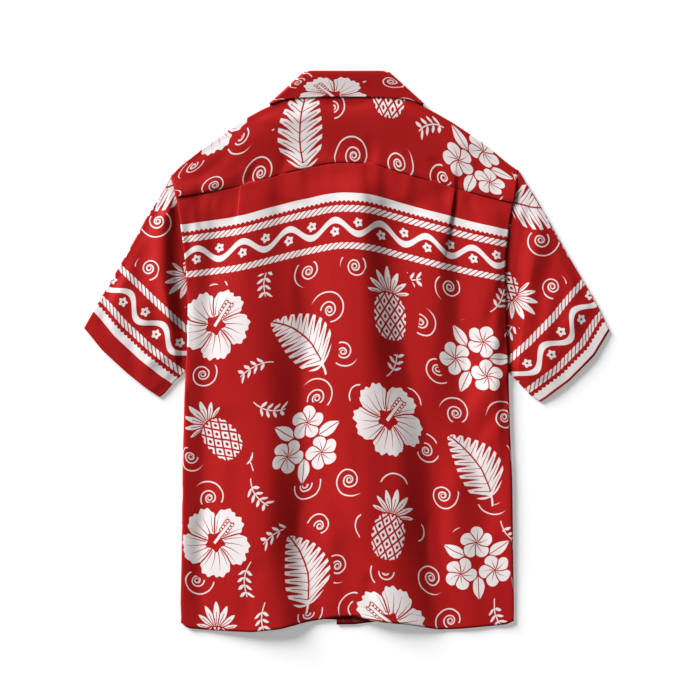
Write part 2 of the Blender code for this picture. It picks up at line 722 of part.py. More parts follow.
def turn_point(angle, line):
    """A point where the collar turns over the shoulder, its fall outside its stand."""
    kind, value = line
    low, high = COLLAR_FOLD
    length = math.dist(low, high)
    ahead = tuple((b - a) / length for a, b in zip(low, high))
    out = (ahead[1], -ahead[0])
    grow = COLLAR_GROW * {"stand": value, "roll": 1.0, "fall": 1.0 - value}[kind]
    fall_r, stand_r = 1.5 * LAYER + grow, 0.5 * LAYER + 0.75 * grow
    roll_start = length - COLLAR_ROLL_INSET
    if kind == "fall":
        radius, q = fall_r, roll_start + (COLLAR_EDGE_START - roll_start) * value
    elif kind == "stand":
        radius, q = stand_r, COLLAR_STAND_START + (roll_start - COLLAR_STAND_START) * value
    else:
        across = math.sin(math.radians(value))
        radius = (fall_r + stand_r) / 2 - (fall_r - stand_r) / 2 * across
        q = roll_start + COLLAR_ROLL_DEPTH * math.cos(math.radians(value))
    depth = -(fall_r + WALL / 2) + radius * math.cos(math.radians(angle))
    x = low[0] + ahead[0] * q + out[0] * depth
    y = low[1] + ahead[1] * q + out[1] * depth
    return x, y, FLOOR + fall_r + radius * math.sin(math.radians(angle))


def collar_place(column, row):
    side, (kind, value) = collar_stations()[column]
    line = COLLAR_LINES[row]
    if kind == "front":
        x, y, z = hairpin(COLLAR_FRONT[value], (FLOOR + LAYER, FLOOR + LAYER, FLOOR, FLOOR),
                          line)
    elif kind == "turn":
        x, y, z = turn_point(value, line)
    else:
        seam_z, edge_z = FLOOR + 2 * LAYER, FLOOR + 3 * LAYER
        stand_z = seam_z + 1.75 * COLLAR_GROW
        fall_z = stand_z + COLLAR_ROLL + COLLAR_PUFF * step(value / 2)
        x, y, z = hairpin(COLLAR_BACK[value], (seam_z, stand_z, fall_z, edge_z), line)
    return side * x, y, z


def build_collar():
    columns = len(collar_stations()) - 1
    cloth("collar", columns, len(COLLAR_LINES) - 1, collar_place, even=False)


# ---- buttons ---------------------------------------------------------------------------

# Turned profile from the middle of the top out and down to the middle below: radius, height
BUTTON_PROFILE = ((0.0, 1.5), (3.4, 1.5), (4.2, BUTTON_HEIGHT), (5.2, BUTTON_HEIGHT),
                  (BUTTON_RADIUS, 1.3), (5.2, 0.3), (4.4, 0.0), (0.0, 0.0))
BUTTON_SIDES = 16


def build_button(number, y):
    bm = bmesh.new()
    points = [bm.verts.new((r * MM, 0, z * MM)) for r, z in BUTTON_PROFILE]
    edges = [bm.edges.new(pair) for pair in zip(points, points[1:])]
    bmesh.ops.spin(bm, geom=points + edges, cent=(0, 0, 0), axis=(0, 0, 1),
                   angle=math.tau, steps=BUTTON_SIDES, use_merge=True)
    bmesh.ops.remove_doubles(bm, verts=bm.verts, dist=0.001 * MM)
    bmesh.ops.recalc_face_normals(bm, faces=bm.faces)
    button = add_object(f"button_{number}", bm, material(f"button_{number}_shell", SHELL, 0.3))
    button.location = (0, y * MM, 0)


def clear():
    for made in list(bpy.data.objects):
        bpy.data.objects.remove(made, do_unlink=True)


clear()
build_back()
build_yoke()
build_front("front_left", -1)
build_front("front_right", 1)
build_sleeve("sleeve_left", -1, SLEEVE_LEFT)
build_sleeve("sleeve_right", 1, SLEEVE_RIGHT)
build_collar()
for count, button_y in enumerate(BUTTON_ROWS, start=1):
    build_button(count, button_y)
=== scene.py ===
"""The looks of a short-sleeved camp-collar shirt in printed red rayon, laid flat on its
front with its back up. Sizes in the pieces are millimetres, and meshes are in metres."""
import math

import bmesh
import bpy
import numpy as np
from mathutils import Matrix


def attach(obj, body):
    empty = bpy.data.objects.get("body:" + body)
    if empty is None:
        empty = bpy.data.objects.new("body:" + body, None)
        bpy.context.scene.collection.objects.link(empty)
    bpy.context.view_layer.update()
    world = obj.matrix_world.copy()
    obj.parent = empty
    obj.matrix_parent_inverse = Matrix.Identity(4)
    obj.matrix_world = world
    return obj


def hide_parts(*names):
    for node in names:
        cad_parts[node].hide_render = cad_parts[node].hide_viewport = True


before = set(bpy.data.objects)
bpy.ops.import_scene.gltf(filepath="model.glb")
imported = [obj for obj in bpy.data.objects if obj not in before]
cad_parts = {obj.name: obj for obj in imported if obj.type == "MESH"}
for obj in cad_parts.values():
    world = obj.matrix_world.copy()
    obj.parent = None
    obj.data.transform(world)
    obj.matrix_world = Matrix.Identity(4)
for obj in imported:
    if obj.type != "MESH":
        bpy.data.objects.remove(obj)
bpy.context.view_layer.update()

# ============================================================
# Back: the large panel below the yoke, cut from red rayon with a white border print across
# the shoulder blades. It is pleated twice into the yoke seam, hangs in soft folds, and
# turns round the sides to the side seams underneath.
# ============================================================

MM = 0.001
CLOTH = 0.7
FLOOR = 0.6
LAYER = 1.8


def soft(t):
    """0 to 1 with soft ends."""
    t = np.clip(t, 0.0, 1.0)
    return t * t * (3 - 2 * t)


def drawn(table, key, reach=5.0):
    """Reads a line through measured points, with its corners rounded over a short reach."""
    keys, values = np.array(table, float).T[:2]
    taps = np.linspace(-reach, reach, 9)
    return sum(np.interp(key + tap, keys, values) for tap in taps) / len(taps)


# Side edges, y then x, and the hem and yoke seam, x then y
EDGE = {-1: ((-360, -215.5), (-330, -216.2), (-253, -214.5), (-145, -213.3), (-60, -211.2),
             (-27, -209.6), (8, -207.2), (54, -206.3), (112, -209.2), (154, -214.5),
             (195.5, -220.4), (227.5, -228.3)),
        1: ((-355, 217.6), (-333, 218), (-253, 216.8), (-167, 215.8), (-102, 212.8),
            (-58, 211.6), (-27, 210.8), (28, 208.5), (93, 206.4), (125, 207.2),
            (171, 212.6), (204, 219.6), (234.5, 224.3))}
BACK_HEM = ((-216, -350), (-211, -357.5), (-205, -360.4), (-173, -363), (-123, -364.8),
            (-86, -360.6), (-50, -351.5), (-14, -345.9), (11, -344), (34, -350.5),
            (79, -354.9), (119, -361.8), (144, -361.3), (201, -356), (211, -354.4),
            (217.5, -349.7))
YOKE_SEAM = ((-222.3, 204), (-182, 211), (-141, 217.6), (-79, 235.8), (-19, 248.8),
             (-2, 249.5), (33, 247.5), (63, 238.4), (84, 231.9), (123, 221.5), (170, 208),
             (200, 200.5), (218, 196.4))
BACK_LENGTH = 566.0
UNDERARM = 0.59
RETURN_WIDTH = 45.0
# What the back lies on: half-width of the collar and lapels by height, the placket, buttons
LAPELS = ((206, 15), (214, 45), (234, 84), (262, 115), (284, 124), (321, 104), (365, 60))
PLACKET_HALF = 13.0
BUTTON_ROWS = (155.0, 72.0, -11.0, -94.0, -177.0)


def over_lapels(x, y, reach, slope):
    """1 within reach of the collar and lapels, falling to 0 over a slope beside them."""
    across = (np.interp(y + reach, *np.array(LAPELS, float).T) + reach - np.abs(x)) / slope
    return soft(across + 1) * soft((y - 206 + reach) / slope + 1)


def over_placket(x, y, reach, slope):
    across = soft((PLACKET_HALF + reach - np.abs(x)) / slope + 1)
    return across * soft((255 + reach - y) / 40)


def over_buttons(x, y, reach, slope):
    ends = soft((225 + reach - y) / 25) * soft((y - BUTTON_ROWS[-1] + 110) / 100)
    return 2.3 * ends * over_placket(x, y, reach, slope)


# The long soft folds. Each has rows of y, x of its crest, rise, and width of its left and
# right slopes
LONG_FOLDS = (
    ((205, -118, 1.0, 40, 44), (168, -124, 4.5, 46, 50), (132, -130, 6.5, 50, 60),
     (80, -134, 8.5, 58, 96), (28, -120, 11.0, 78, 78), (-24, -107, 10.5, 96, 56),
     (-89, -103, 10.0, 96, 52), (-193, -103, 12.0, 92, 52), (-252, -107, 12.0, 92, 54),
     (-310, -95, 10.5, 108, 56), (-365, -84, 11.0, 118, 50)),
    ((232, 22, 1.0, 40, 26), (190, 22, 6.0, 50, 34), (132, 18, 8.0, 66, 38),
     (80, 23, 8.5, 68, 42), (28, 32, 9.5, 84, 44), (-24, 35, 10.0, 104, 48),
     (-89, 57, 10.5, 126, 54), (-193, 63, 12.0, 116, 50), (-252, 61, 12.0, 104, 52),
     (-310, 58, 10.5, 76, 80), (-365, 60, 11.0, 66, 84)),
    ((190, 114, 1.0, 34, 18), (160, 118, 6.0, 56, 22), (132, 119, 8.0, 60, 26),
     (80, 120, 6.5, 52, 34), (28, 116, 4.0, 44, 36), (-24, 112, 3.5, 36, 36),
     (-80, 110, 0.0, 30, 30)),
    ((205, 186, 0.5, 34, 26), (165, 192, 4.5, 50, 28), (132, 193, 5.5, 60, 26),
     (80, 192, 6.5, 60, 22), (28, 192, 6.5, 54, 22), (-24, 190, 5.5, 40, 22),
     (-89, 196, 6.0, 43, 18), (-140, 198, 2.5, 40, 18), (-190, 200, 0.0, 30, 18)),
    ((205, -196, 0.0, 16, 20), (165, -195, 4.5, 16, 25), (120, -194, 3.5, 16, 26),
     (70, -194, 1.0, 16, 28), (20, -194, 3.0, 16, 27), (-30, -195, 0.0, 16, 28)),
    ((-110, 142, 0.0, 30, 26), (-170, 146, 3.0, 36, 30), (-230, 150, 3.0, 36, 34),
     (-300, 160, 1.5, 34, 30), (-365, 166, 1.0, 34, 30)),
)
# Small creases: ends x, y and x, y, then rise and half-width
BACK_CREASES = (
    (-190, 208, -186, 150, -1.4, 7), (-84, 232, -82, 160, -1.5, 9),
    (-60, 238, -52, 176, 0.9, 8), (28, 246, 38, 176, -1.4, 8), (52, 240, 58, 190, -1.0, 6),
    (-30, 247, -26, 205, -0.8, 7), (84, 230, 82, 182, 0.9, 8),
    (-206, 150, -172, 96, -1.2, 9), (-204, 60, -168, 20, 1.0, 9), (206, 90, 184, 30, -1.3, 8),
    (205, 20, 172, -30, 0.9, 9), (-208, -24, -150, -80, 1.4, 13), (-206, -60, -160, -105, -1.0, 10),
    (209, -30, 160, -90, 1.4, 13), (210, -70, 168, -120, -1.0, 10), (-160, 60, -150, -30, 0.9, 10),
    (-70, 120, -60, 0, 1.0, 11), (-30, -60, -20, -190, -1.1, 12), (0, -120, 20, -240, 0.8, 11),
    (70, 60, 82, -40, -0.9, 9), (150, -20, 168, -150, -1.2, 13), (140, -180, 150, -290, 1.4, 14),
    (-160, -150, -150, -260, 1.2, 14), (-60, -220, -52, -330, -1.4, 12),
    (-20, -250, -6, -350, 1.6, 14), (112, -240, 122, -362, -1.8, 14),
    (-190, -230, -186, -345, -1.1, 10), (190, -240, 196, -345, 1.1, 11),
    (-120, -290, -128, -364, -1.0, 11), (30, -300, 38, -352, -1.3, 10),
    (-170, 190, -150, 176, 0.7, 8), (160, 196, 176, 168, -0.8, 7),
)


def fold_relief(x, y):
    """Rise of the long folds down the body."""
    rise = np.zeros_like(x)
    for rows in LONG_FOLDS:
        table = np.array(rows[::-1], float)
        crest, high, left, right = (
            drawn(table[:, (0, n)], y, 30) for n in (1, 2, 3, 4))
        across = np.where(x < crest, (crest - x) / left, (x - crest) / right)
        rise = np.hypot(rise, high * soft(1 - across))
    return rise


def creases(x, y, table):
    """Sum of small soft creases, each a ridge or a trough along a line."""
    rise = np.zeros_like(x)
    for x0, y0, x1, y1, high, width in table:
        length = math.hypot(x1 - x0, y1 - y0)
        ahead = ((x - x0) * (x1 - x0) + (y - y0) * (y1 - y0)) / length ** 2
        bend = width * 0.5 * np.sin(ahead * 3.1)
        aside = ((x - x0) * (y1 - y0) - (y - y0) * (x1 - x0)) / length - bend
        ends = soft(ahead * 3 + 1) * soft((1 - ahead) * 2.2 + 0.4)
        rise = rise + high * ends * np.exp(-(aside / width) ** 2)
    return rise


def unevenness(x, y, size, high):
    """The slight waviness of cloth that lies loose."""
    a = np.sin(x / size + 1.3 * np.sin(y / size / 1.7)) * np.sin(y / size / 1.3 + 0.6)
    b = np.sin(x / size / 0.53 + y / size / 0.9 + 2.0 * np.sin(x / size / 2.3))
    return high * (0.65 * a + 0.35 * b)


def body_relief(x, y):
    """Everything that the back's cloth does above the layers under it."""
    inset = np.minimum(x - drawn(EDGE[-1], y), drawn(EDGE[1], y) - x)
    edge = (3.4 - 1.6 * soft(x / 100) * soft((y + 30) / 60)) * soft((225 - y) / 40)
    edge = edge * (0.45 + 0.55 * soft((y + 350) / 120))
    swell = edge * (1 - soft(inset / 34))
    near_seam = soft((drawn(YOKE_SEAM, x, 12) - y + 6) / 34)
    small = creases(x, y, BACK_CREASES) + unevenness(x, y, 31, 0.55)
    rise = np.hypot(fold_relief(x, y) * near_seam, swell) + small * soft(inset / 10 + 0.2)
    deepest, blend = -0.75, 0.3
    return deepest + blend * np.logaddexp(0, (rise - deepest) / blend)


def body_top(x, y):
    """Middle of the back's and yoke's cloth without its folds."""
    layers = 1 + over_lapels(x, y, 14, 60) + over_placket(x, y, 6, 45)
    return FLOOR + LAYER * layers + over_buttons(x, y, 6, 45)


def finished(name, bm, *materials):
    """An object in the scene with the bmesh as its mesh, in these materials."""
    mesh = bpy.data.meshes.new(name)
    bm.to_mesh(mesh)
    bm.free()
    for material in materials:
        mesh.materials.append(material)
    made = bpy.data.objects.new(name, mesh)
    bpy.context.collection.objects.link(made)
    return made


def cloth_piece(name, points, cloth, sewing, keep=None, closed=False, flip=False,
                faced=None):
    """A thin wall of cloth through rows and columns of points. cloth is each point's place
    on the flat cloth for the print, and sewing its run along and distance from a row of
    stitches. Where it is faced, the print shows on both of its sides."""
    rows, columns = points.shape[0] - 1, points.shape[1] - 1
    bm = bmesh.new()
    bmesh.ops.create_grid(bm, x_segments=columns, y_segments=rows, size=1.0)
    place = {vert: (round((vert.co.y + 1) / 2 * rows), round((vert.co.x + 1) / 2 * columns))
             for vert in bm.verts}
    if keep is not None:
        spare = [f for f in bm.faces if not keep[min(place[v] for v in f.verts)]]
        bmesh.ops.delete(bm, geom=spare, context="FACES")
    print_layer = bm.loops.layers.uv.new("cloth")
    sewing_layer = bm.loops.layers.uv.new("sewing")
    for face in bm.faces:
        for loop in face.loops:
            loop[print_layer].uv = cloth[place[loop.vert]] * MM
            loop[sewing_layer].uv = sewing[place[loop.vert]] * MM
        if faced is not None and faced[min(place[v] for v in face.verts)]:
            face.material_index = 2
    for vert in bm.verts:
        vert.co = points[place[vert]] * MM
    if closed:
        bmesh.ops.remove_doubles(bm, verts=bm.verts, dist=0.01 * MM)
    if flip:
        bmesh.ops.reverse_faces(bm, faces=bm.faces)
    for face in bm.faces:
        face.smooth = True
    piece = finished(name, bm, print_side, shaded_wrong_side, print_side, print_side)
    wall = piece.modifiers.new("wall", "SOLIDIFY")
    wall.thickness = CLOTH * MM
    wall.offset = 0.0
    # The inner side takes the second material, the wrong side with its painted shade.
    wall.material_offset = 1
    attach(piece, "root")
    return piece


def half_round(edge_x, edge_y, in_x, in_y, top, low, angle):
    """A point on the half-round fold at an edge, from -90 under it to 90 on top of it."""
    radius = (top - low) / 2
    inset = CLOTH / 2 + radius * (1 - math.cos(math.radians(angle)))
    high = (top + low) / 2 + radius * math.sin(math.radians(angle))
    return np.stack([edge_x + in_x * inset, edge_y + in_y * inset, high], axis=-1)


# Pleats: side, then crease x and y at the seam and further down, and how far each stands up
PLEATS = ((-1, -137.5, 217, -147.0, 110, 0.9), (1, 141.5, 214, 127.0, 120, 3.0))


def pleat_crease(pleat, y):
    _, x_top, y_top, x_low, y_low, _ = pleat
    return x_top + (x_low - x_top) * np.clip((y_top - y) / (y_top - y_low), 0, 1.6)


def pleat_relief(x, y):
    """A ledge that stands over the cloth outside it, and fades further down."""
    rise = np.zeros_like(x)
    for pleat in PLEATS:
        out = pleat[0] * (x - pleat_crease(pleat, y))
        down = pleat[2] - y
        stands = pleat[5] * (0.45 + 0.55 * soft(down / 25)) * (1 - soft((down - 34) / 70))
        ledge = np.where(out < 0, soft(1 + out / 22) ** 1.5, 1 - soft(out / 1.3))
        wedge = -0.35 * np.exp(-((out - 4) / 4) ** 2)
        rise = rise + stands * (ledge + wedge)
    return rise


class Wire:
    """A shader value. Arithmetic on it adds Math nodes, and make() adds any other node."""

    def __init__(self, tree, socket=None):
        self.tree = tree
        self.socket = socket

    def make(self, kind, settings, sockets, out=0):
        node = self.tree.nodes.new(kind)
        for name, value in settings.items():
            setattr(node, name, value)
        for key, value in sockets.items():
            if isinstance(value, Wire):
                self.tree.links.new(value.socket, node.inputs[key])
            else:
                node.inputs[key].default_value = value
        return Wire(self.tree, node.outputs[out])

    def math(self, operation, *values):
        return self.make("ShaderNodeMath", {"operation": operation}, dict(enumerate(values)))

    def parts(self):
        """The first two parts of a vector."""
        split = self.make("ShaderNodeSeparateXYZ", {}, {0: self})
        return split, Wire(self.tree, split.socket.node.outputs[1])

    def colour(self, low, high):
        """A colour from low to high by this value."""
        return self.make("ShaderNodeMix", {"data_type": "RGBA"}, {0: self, 6: low, 7: high},
                         out=2)

    def __add__(self, other):
        return self.math("ADD", self, other)

    def __sub__(self, other):
        return self.math("SUBTRACT", self, other)

    def __rsub__(self, other):
        return self.math("SUBTRACT", other, self)

    def __mul__(self, other):
        return self.math("MULTIPLY", self, other)

    def __truediv__(self, other):
        return self.math("DIVIDE", self, other)

    def __pow__(self, other):
        return self.math("POWER", self, other)

    def __abs__(self):
        return self.math("ABSOLUTE", self)

    __radd__ = __add__
    __rmul__ = __mul__


def least(a, b):
    return a.math("MINIMUM", a, b)


def most(a, b):
    return a.math("MAXIMUM", a, b)


def sine(a):
    return a.math("SINE", a)


def cosine(a):
    return a.math("COSINE", a)


def fraction(a):
    return a.math("FRACT", a)


def far_from_middle(a):
    """0 in the middle of each whole step of a, 1 between two of them."""
    return abs(fraction(a) - 0.5) * 2


def length(x, y):
    return (x * x + y * y) ** 0.5


def ink(inside, blur=0.5):
    """1 where a distance in millimetres is positive, 0 where it isn't, with a soft edge."""
    return inside.make("ShaderNodeMath", {"operation": "MULTIPLY_ADD", "use_clamp": True},
                       {0: inside, 1: 1 / blur, 2: 0.5})


def hibiscus(x, y):
    r, turn = length(x, y), x.math("ARCTAN2", y, x) * (5 / math.tau)
    turn = turn + r * 0.004
    side = far_from_middle(turn)
    ruffle = sine(turn * (math.tau * 6)) * 1.2
    rim = 48 - side ** 3 * 14 - (1 - side) ** 6 * 4 + ruffle
    lateral = r * 0.628
    gap = ink(1.0 - (1 - side) * lateral)
    vein_gap = far_from_middle(side * 2 + 0.5) * lateral * 0.25
    veins = ink(1.0 - r * 0.022 - (lateral * 0.25 - vein_gap)) * ink(r - 13) * ink(39 - r)
    eye = ink(9.5 + (1 - side) * 5 - r)
    petals = ink(rim - r) * (1 - gap) * (1 - veins) * (1 - eye)
    ahead, aside = x * 0.92 + y * 0.39, abs(y * 0.92 - x * 0.39)
    rod = least(ahead + 2, 33 - ahead)
    dots = length(aside - 4.2, (fraction(ahead / 5) - 0.5) * 5)
    pollen = ink(1.6 - dots) * ink(ahead - 17) * ink(35 - ahead)
    halo = ink(least(rod + 1.6, 3.4 - aside))
    stem = ink(least(rod, 1.9 - aside))
    clear_dots = ink(2.7 - dots) * ink(ahead - 16) * ink(36 - ahead)
    return most(petals * (1 - halo) * (1 - clear_dots), most(stem, pollen))


def split_leaf(x, y):
    bent = abs(x + y * y * 0.0045 - 5)
    up = most(least((y + 50) / 100, 1), 0)
    half = most(sine(up ** 0.7 * math.pi), 0.0001) ** 0.7 * 31
    out = bent / half
    step = (y - bent * 0.6) / 11
    slit = ink((out - 0.26) * 4.2 - (1 - far_from_middle(step + 0.5)) * 5.5)
    vein = ink(0.55 - (1 - far_from_middle(step)) * 5.5) * ink((0.8 - out) * 20)
    rib = ink(1.1 - bent)
    blade = ink(half - bent) * (1 - slit) * (1 - vein) * (1 - rib) * ink(50 - abs(y))
    stalk = ink(1.5 - bent) * ink(y + 62) * ink(-44 - y)
    return most(blade, stalk)


def pineapple(x, y):
    low = y + 15
    round_off = (abs(x) / 22) ** 2.5 + (abs(low) / 30) ** 2.5
    body = ink((1 - round_off) * 11)
    bulge = x * (1 + low * low * 0.0003)
    a, b = (bulge + low * 0.72) / 14, (bulge - low * 0.72) / 14
    lines = ink(1.25 - least(1 - far_from_middle(a), 1 - far_from_middle(b)) * 5.6)
    eyes = ink(2.2 - length(far_from_middle(a), far_from_middle(b)) * 5.6)
    fruit = body * (1 - lines) * (1 - eyes)
    high = y - 12
    r, angle = length(x, high), x.math("ARCTAN2", x, high)
    side = far_from_middle(angle * (7 / math.pi) + 0.5)
    spikes = ink(38 - abs(angle) * 7 - side ** 1.4 * 19 - r) * ink((1.42 - abs(angle)) * 10)
    gap = ink(0.8 - (1 - side) * r * 0.22) * ink(r - 5)
    mid = ink(0.5 - side * r * 0.22) * ink(r - 7) * ink(24 - r)
    return most(fruit, spikes * (1 - gap) * (1 - mid) * (1 - ink(2 + (1 - round_off) * 11)))


def plumeria(x, y):
    r, third = length(x, y), x.math("ARCTAN2", y, x) * (3 / math.tau)
    sector = fraction(third) - 0.5
    px, py = r * cosine(sector * (math.tau / 3)) - 27, r * sine(sector * (math.tau / 3))
    near, turn = length(px, py), x.math("ARCTAN2", py, px) * (5 / math.tau)
    g = fraction(turn + near * 0.013 + 0.2)
    rim = most(sine(g * math.pi), 0.0001) ** 0.55 * 9 + 13
    gap = ink(0.8 - least(g, 1 - g) * near * 1.25)
    streak = ink(0.9 - near * 0.05 - abs(g - 0.5) * near * 1.25) * ink(near - 3)
    flower = ink(rim - near) * (1 - gap) * (1 - streak)
    aside = (0.5 - abs(sector)) * r * 2.09
    span = most(least((r - 16) / 36, 1), 0)
    leaf = sine(span * math.pi) * 8 - aside
    blade = ink(leaf) * (1 - ink(0.6 - aside)) * ink(r - 17) * ink(51 - r)
    return most(flower, blade * (1 - ink(rim + 2 - near)))


def vine(x, y, luck):
    """A thin line that winds in to a curl."""
    near, turn = length(x, y), x.math("ARCTAN2", y, x) / math.tau
    wind = near.math("LOGARITHM", most(near, 0.5), 2.3) - turn - luck * 7
    line = ink(0.75 - (1 - far_from_middle(wind + 0.5)) * near * 0.40)
    return line * ink(28 - luck * 9 - near) * ink(near - 2.0)


def sprig(x, y):
    """A thin bent stalk with small leaves in pairs."""
    bent = x + y * y * 0.012 - 3
    stalk = ink(0.7 - abs(bent)) * ink(22 - abs(y + 3))
    along_stalk = y / 9 - abs(bent) * 0.07
    pair = (fraction(along_stalk) - 0.5) * 9
    leaf = (abs(bent) - 4.8) / 4.5
    leaves = ink((1 - leaf * leaf) * 2.2 - abs(pair)) * ink((2.0 - abs(along_stalk)) * 9)
    return most(stalk, leaves)


def field(u, v):
    """The main motifs, a quarter of the cells each, in columns that drop by turns, with
    thin vines and sprigs round them. No motif is cut by the border."""
    wide, tall, drop_by = 112.0, 134.0, 47.0
    column = u.math("FLOOR", u / wide)
    drop = column.math("FLOORED_MODULO", column, 2.0) * drop_by
    raised = v - ink(v) * 22
    fallen = (raised + drop + 65) / tall
    row = fallen.math("FLOOR", fallen)
    luck = fraction(sine(column * 12.7 + row * 7.31) * 91.7)
    other_luck = fraction(sine(column * 5.3 + row * 17.9) * 47.3)
    x = (u / wide - column - 0.5) * wide + (luck - 0.5) * 9
    y = (fallen - row - 0.5) * tall + (other_luck - 0.5) * 26
    kind = column.math("FLOORED_MODULO", column + row * 2, 4.0)
    turned = (luck - 0.5) * 1.9
    flip = column.math("SIGN", luck - 0.45)
    c, s = cosine(turned), sine(turned)
    fx = (x * c + y * s) * 1.05 * flip
    fy = (y * c - x * s) * 1.05
    motifs = [hibiscus(fx, fy), split_leaf(fx, fy), pineapple(fx, fy), plumeria(fx, fy)]
    marks = [motif * ink(0.5 - abs(kind - n), 0.1) for n, motif in enumerate(motifs)]
    centre = (row + 0.5) * tall - drop - 65
    whole = ink(abs(centre + ink(centre) * 22 + 17) - 100, 1.0)
    lean = ink(0.6 - abs(kind - 1.5), 0.1)
    room = length(fx / (51 - lean * 12), fy / (51 + lean * 9)) - 1
    clear = 1 - ink(room * -40 + 2) * whole
    small, low = 61.0, 53.0
    line_row = (v + 11).math("FLOOR", (v + 11) / low)
    slid = u / small + line_row * 0.37
    line_column = slid.math("FLOOR", slid)
    chance = fraction(sine(line_column * 9.1 + line_row * 14.3) * 63.1)
    spin = chance * (math.tau * 4)
    lx = (slid - line_column - 0.5) * small + (chance - 0.5) * 8
    ly = (fraction((v + 11) / low) - 0.5) * low
    tilted_x = lx * cosine(spin) + ly * sine(spin)
    tilted_y = ly * cosine(spin) - lx * sine(spin)
    few = ink(0.26 - chance, 0.01)
    lines = vine(lx, ly, chance) * (1 - few) + sprig(tilted_x, tilted_y) * few
    return sum(marks[1:], marks[0]) * whole + lines * clear


def cord_line(u, w, half):
    """A line of twisted cord, drawn by its strands."""
    twist = far_from_middle((u + w * 1.2) / 7)
    return ink((0.74 - twist) * 5) * ink(half - twist * 0.8 - abs(w))


def border(u, w):
    """The border print from its outer edge inwards: stripe, cord, flowering vine, cord."""
    stripe = ink(w) * ink(11.5 - abs(sine(u * (math.pi / 6))) * 2.2 - w)
    middle, wave = w - 42, sine(u * (math.tau / 60))
    vine = ink(3.0 - abs(middle - wave * 8.5) * 0.76)
    x = (fraction(u / 30) - 0.5) * 30
    y = middle * u.math("SIGN", wave) + 5.5
    r, turn = length(x, y), x.math("ARCTAN2", y, x) * (5 / math.tau)
    bloom = ink(6.4 - far_from_middle(turn) * 2.4 - r) * (1 - ink(1.5 - r))
    return stripe + cord_line(u, w - 19.5, 4.4) + most(vine, bloom) + cord_line(u, w - 65.5, 4.2)


def rayon(name, shown, red, white):
    """Red rayon with the white print: shown is how strongly the print is seen."""
    made = bpy.data.materials.new(name)
    made.use_nodes = True
    tree = made.node_tree
    shader = tree.nodes["Principled BSDF"]
    start = Wire(tree)
    place = start.make("ShaderNodeUVMap", {"uv_map": "cloth"}, {})
    wobble = start.make("ShaderNodeTexNoise", {}, {"Vector": place, "Scale": 42.0, "Detail": 2.0},
                        out=1)
    apart, up = place.parts()
    shaken, shaken_up = wobble.parts()
    u = apart * 1000 + (shaken - 0.5) * 3.2
    v = up * 1000 + (shaken_up - 0.5) * 3.2
    w = up * -1000 + (shaken_up - 0.5) * 1.0
    clear_of_border = most(ink(w - 80), ink(-48 - w))
    straight = apart * 1000 + (shaken - 0.5) * 1.0
    white_ink = most(field(u, v) * clear_of_border, border(straight, w) * ink(72 - w))
    white_ink = white_ink.make("ShaderNodeMath", {"operation": "MULTIPLY", "use_clamp": True},
                               {0: white_ink, 1: shown})
    sewn = start.make("ShaderNodeUVMap", {"uv_map": "sewing"}, {})
    run, from_row = sewn.parts()
    aside = abs(from_row) * 1000
    thread = ink(0.32 - aside, 0.3) * ink((0.7 - far_from_middle(run * 1000 / 3.0)) * 3, 0.4)
    groove = ink(1.4 - aside, 1.6)
    cloud = start.make("ShaderNodeTexNoise", {}, {"Vector": place, "Scale": 9.0, "Detail": 3.0})
    slub = start.make("ShaderNodeTexNoise", {}, {"Vector": place, "Scale": 650.0, "Detail": 2.0})
    mottle = cloud * 0.5 + slub * 0.5
    tint = mottle.colour(tuple(0.88 * c for c in red) + (1,),
                         tuple(min(1, 1.12 * c) for c in red) + (1,))
    printed = (white_ink * 0.97).colour(tint, white + (1,))
    stitched = (thread * 0.6).colour(printed, (0.30, 0.012, 0.014, 1))
    height = slub * 0.05 - groove * 0.12 + thread * 0.12 + white_ink * 0.015
    bump = start.make("ShaderNodeBump", {}, {"Height": height, "Strength": 0.5,
                                             "Distance": 0.0006})
    tree.links.new(stitched.socket, shader.inputs["Base Color"])
    tree.links.new(bump.socket, shader.inputs["Normal"])
    tree.links.new((slub * 0.12 + 0.56).socket, shader.inputs["Roughness"])
    shader.inputs["Specular IOR Level"].default_value = 0.1
    shader.inputs["Sheen Weight"].default_value = 0.02
    return made


RED, WHITE = (0.42, 0.0085, 0.0085), (0.87, 0.82, 0.81)
# The wrong side's red and white are darker than the cloth's own colour: painted shade for the
# inside of the shirt where it shows at the hem and the neck. Its faint print is the cloth's own.
SHADED_WRONG_RED, SHADED_WRONG_WHITE = (0.24, 0.008, 0.009), (0.36, 0.14, 0.13)
print_side = rayon("printed_red_rayon", 1.0, RED, WHITE)
shaded_wrong_side = rayon("red_rayon_shaded_wrong_side", 0.25, SHADED_WRONG_RED, SHADED_WRONG_WHITE)

back_rows = np.linspace(0, 1, 176)
near = np.concatenate([np.linspace(0, 0.187, 34), np.linspace(0.189, 0.208, 18)])
middle_run = np.linspace(0.2105, 0.8095, 100)
far = np.concatenate([np.linspace(0.812, 0.832, 18), np.linspace(0.835, 1, 34)])
back_shares = np.concatenate([near, middle_run, far])
CREASE_SHARE = {-1: 0.1985, 1: 0.822}
turns = (-90, -68, -45, -22, 0, 22, 45, 68)
strip = np.linspace(0, 1, 14)[:-1]


def back_y(x, share):
    low = drawn(BACK_HEM, x, 4)
    return low + (drawn(YOKE_SEAM, x, 12) - low) * share


side_y = {side: back_y(np.full_like(back_rows, side * 214.0), back_rows) for side in (-1, 1)}
below_underarm = soft((UNDERARM - back_rows) * BACK_LENGTH / 12)
edge_x = {side: drawn(EDGE[side], side_y[side]) for side in (-1, 1)}


def back_edge_height(side, share):
    y = side_y[side]
    return body_top(edge_x[side], y) + body_relief(edge_x[side], y)


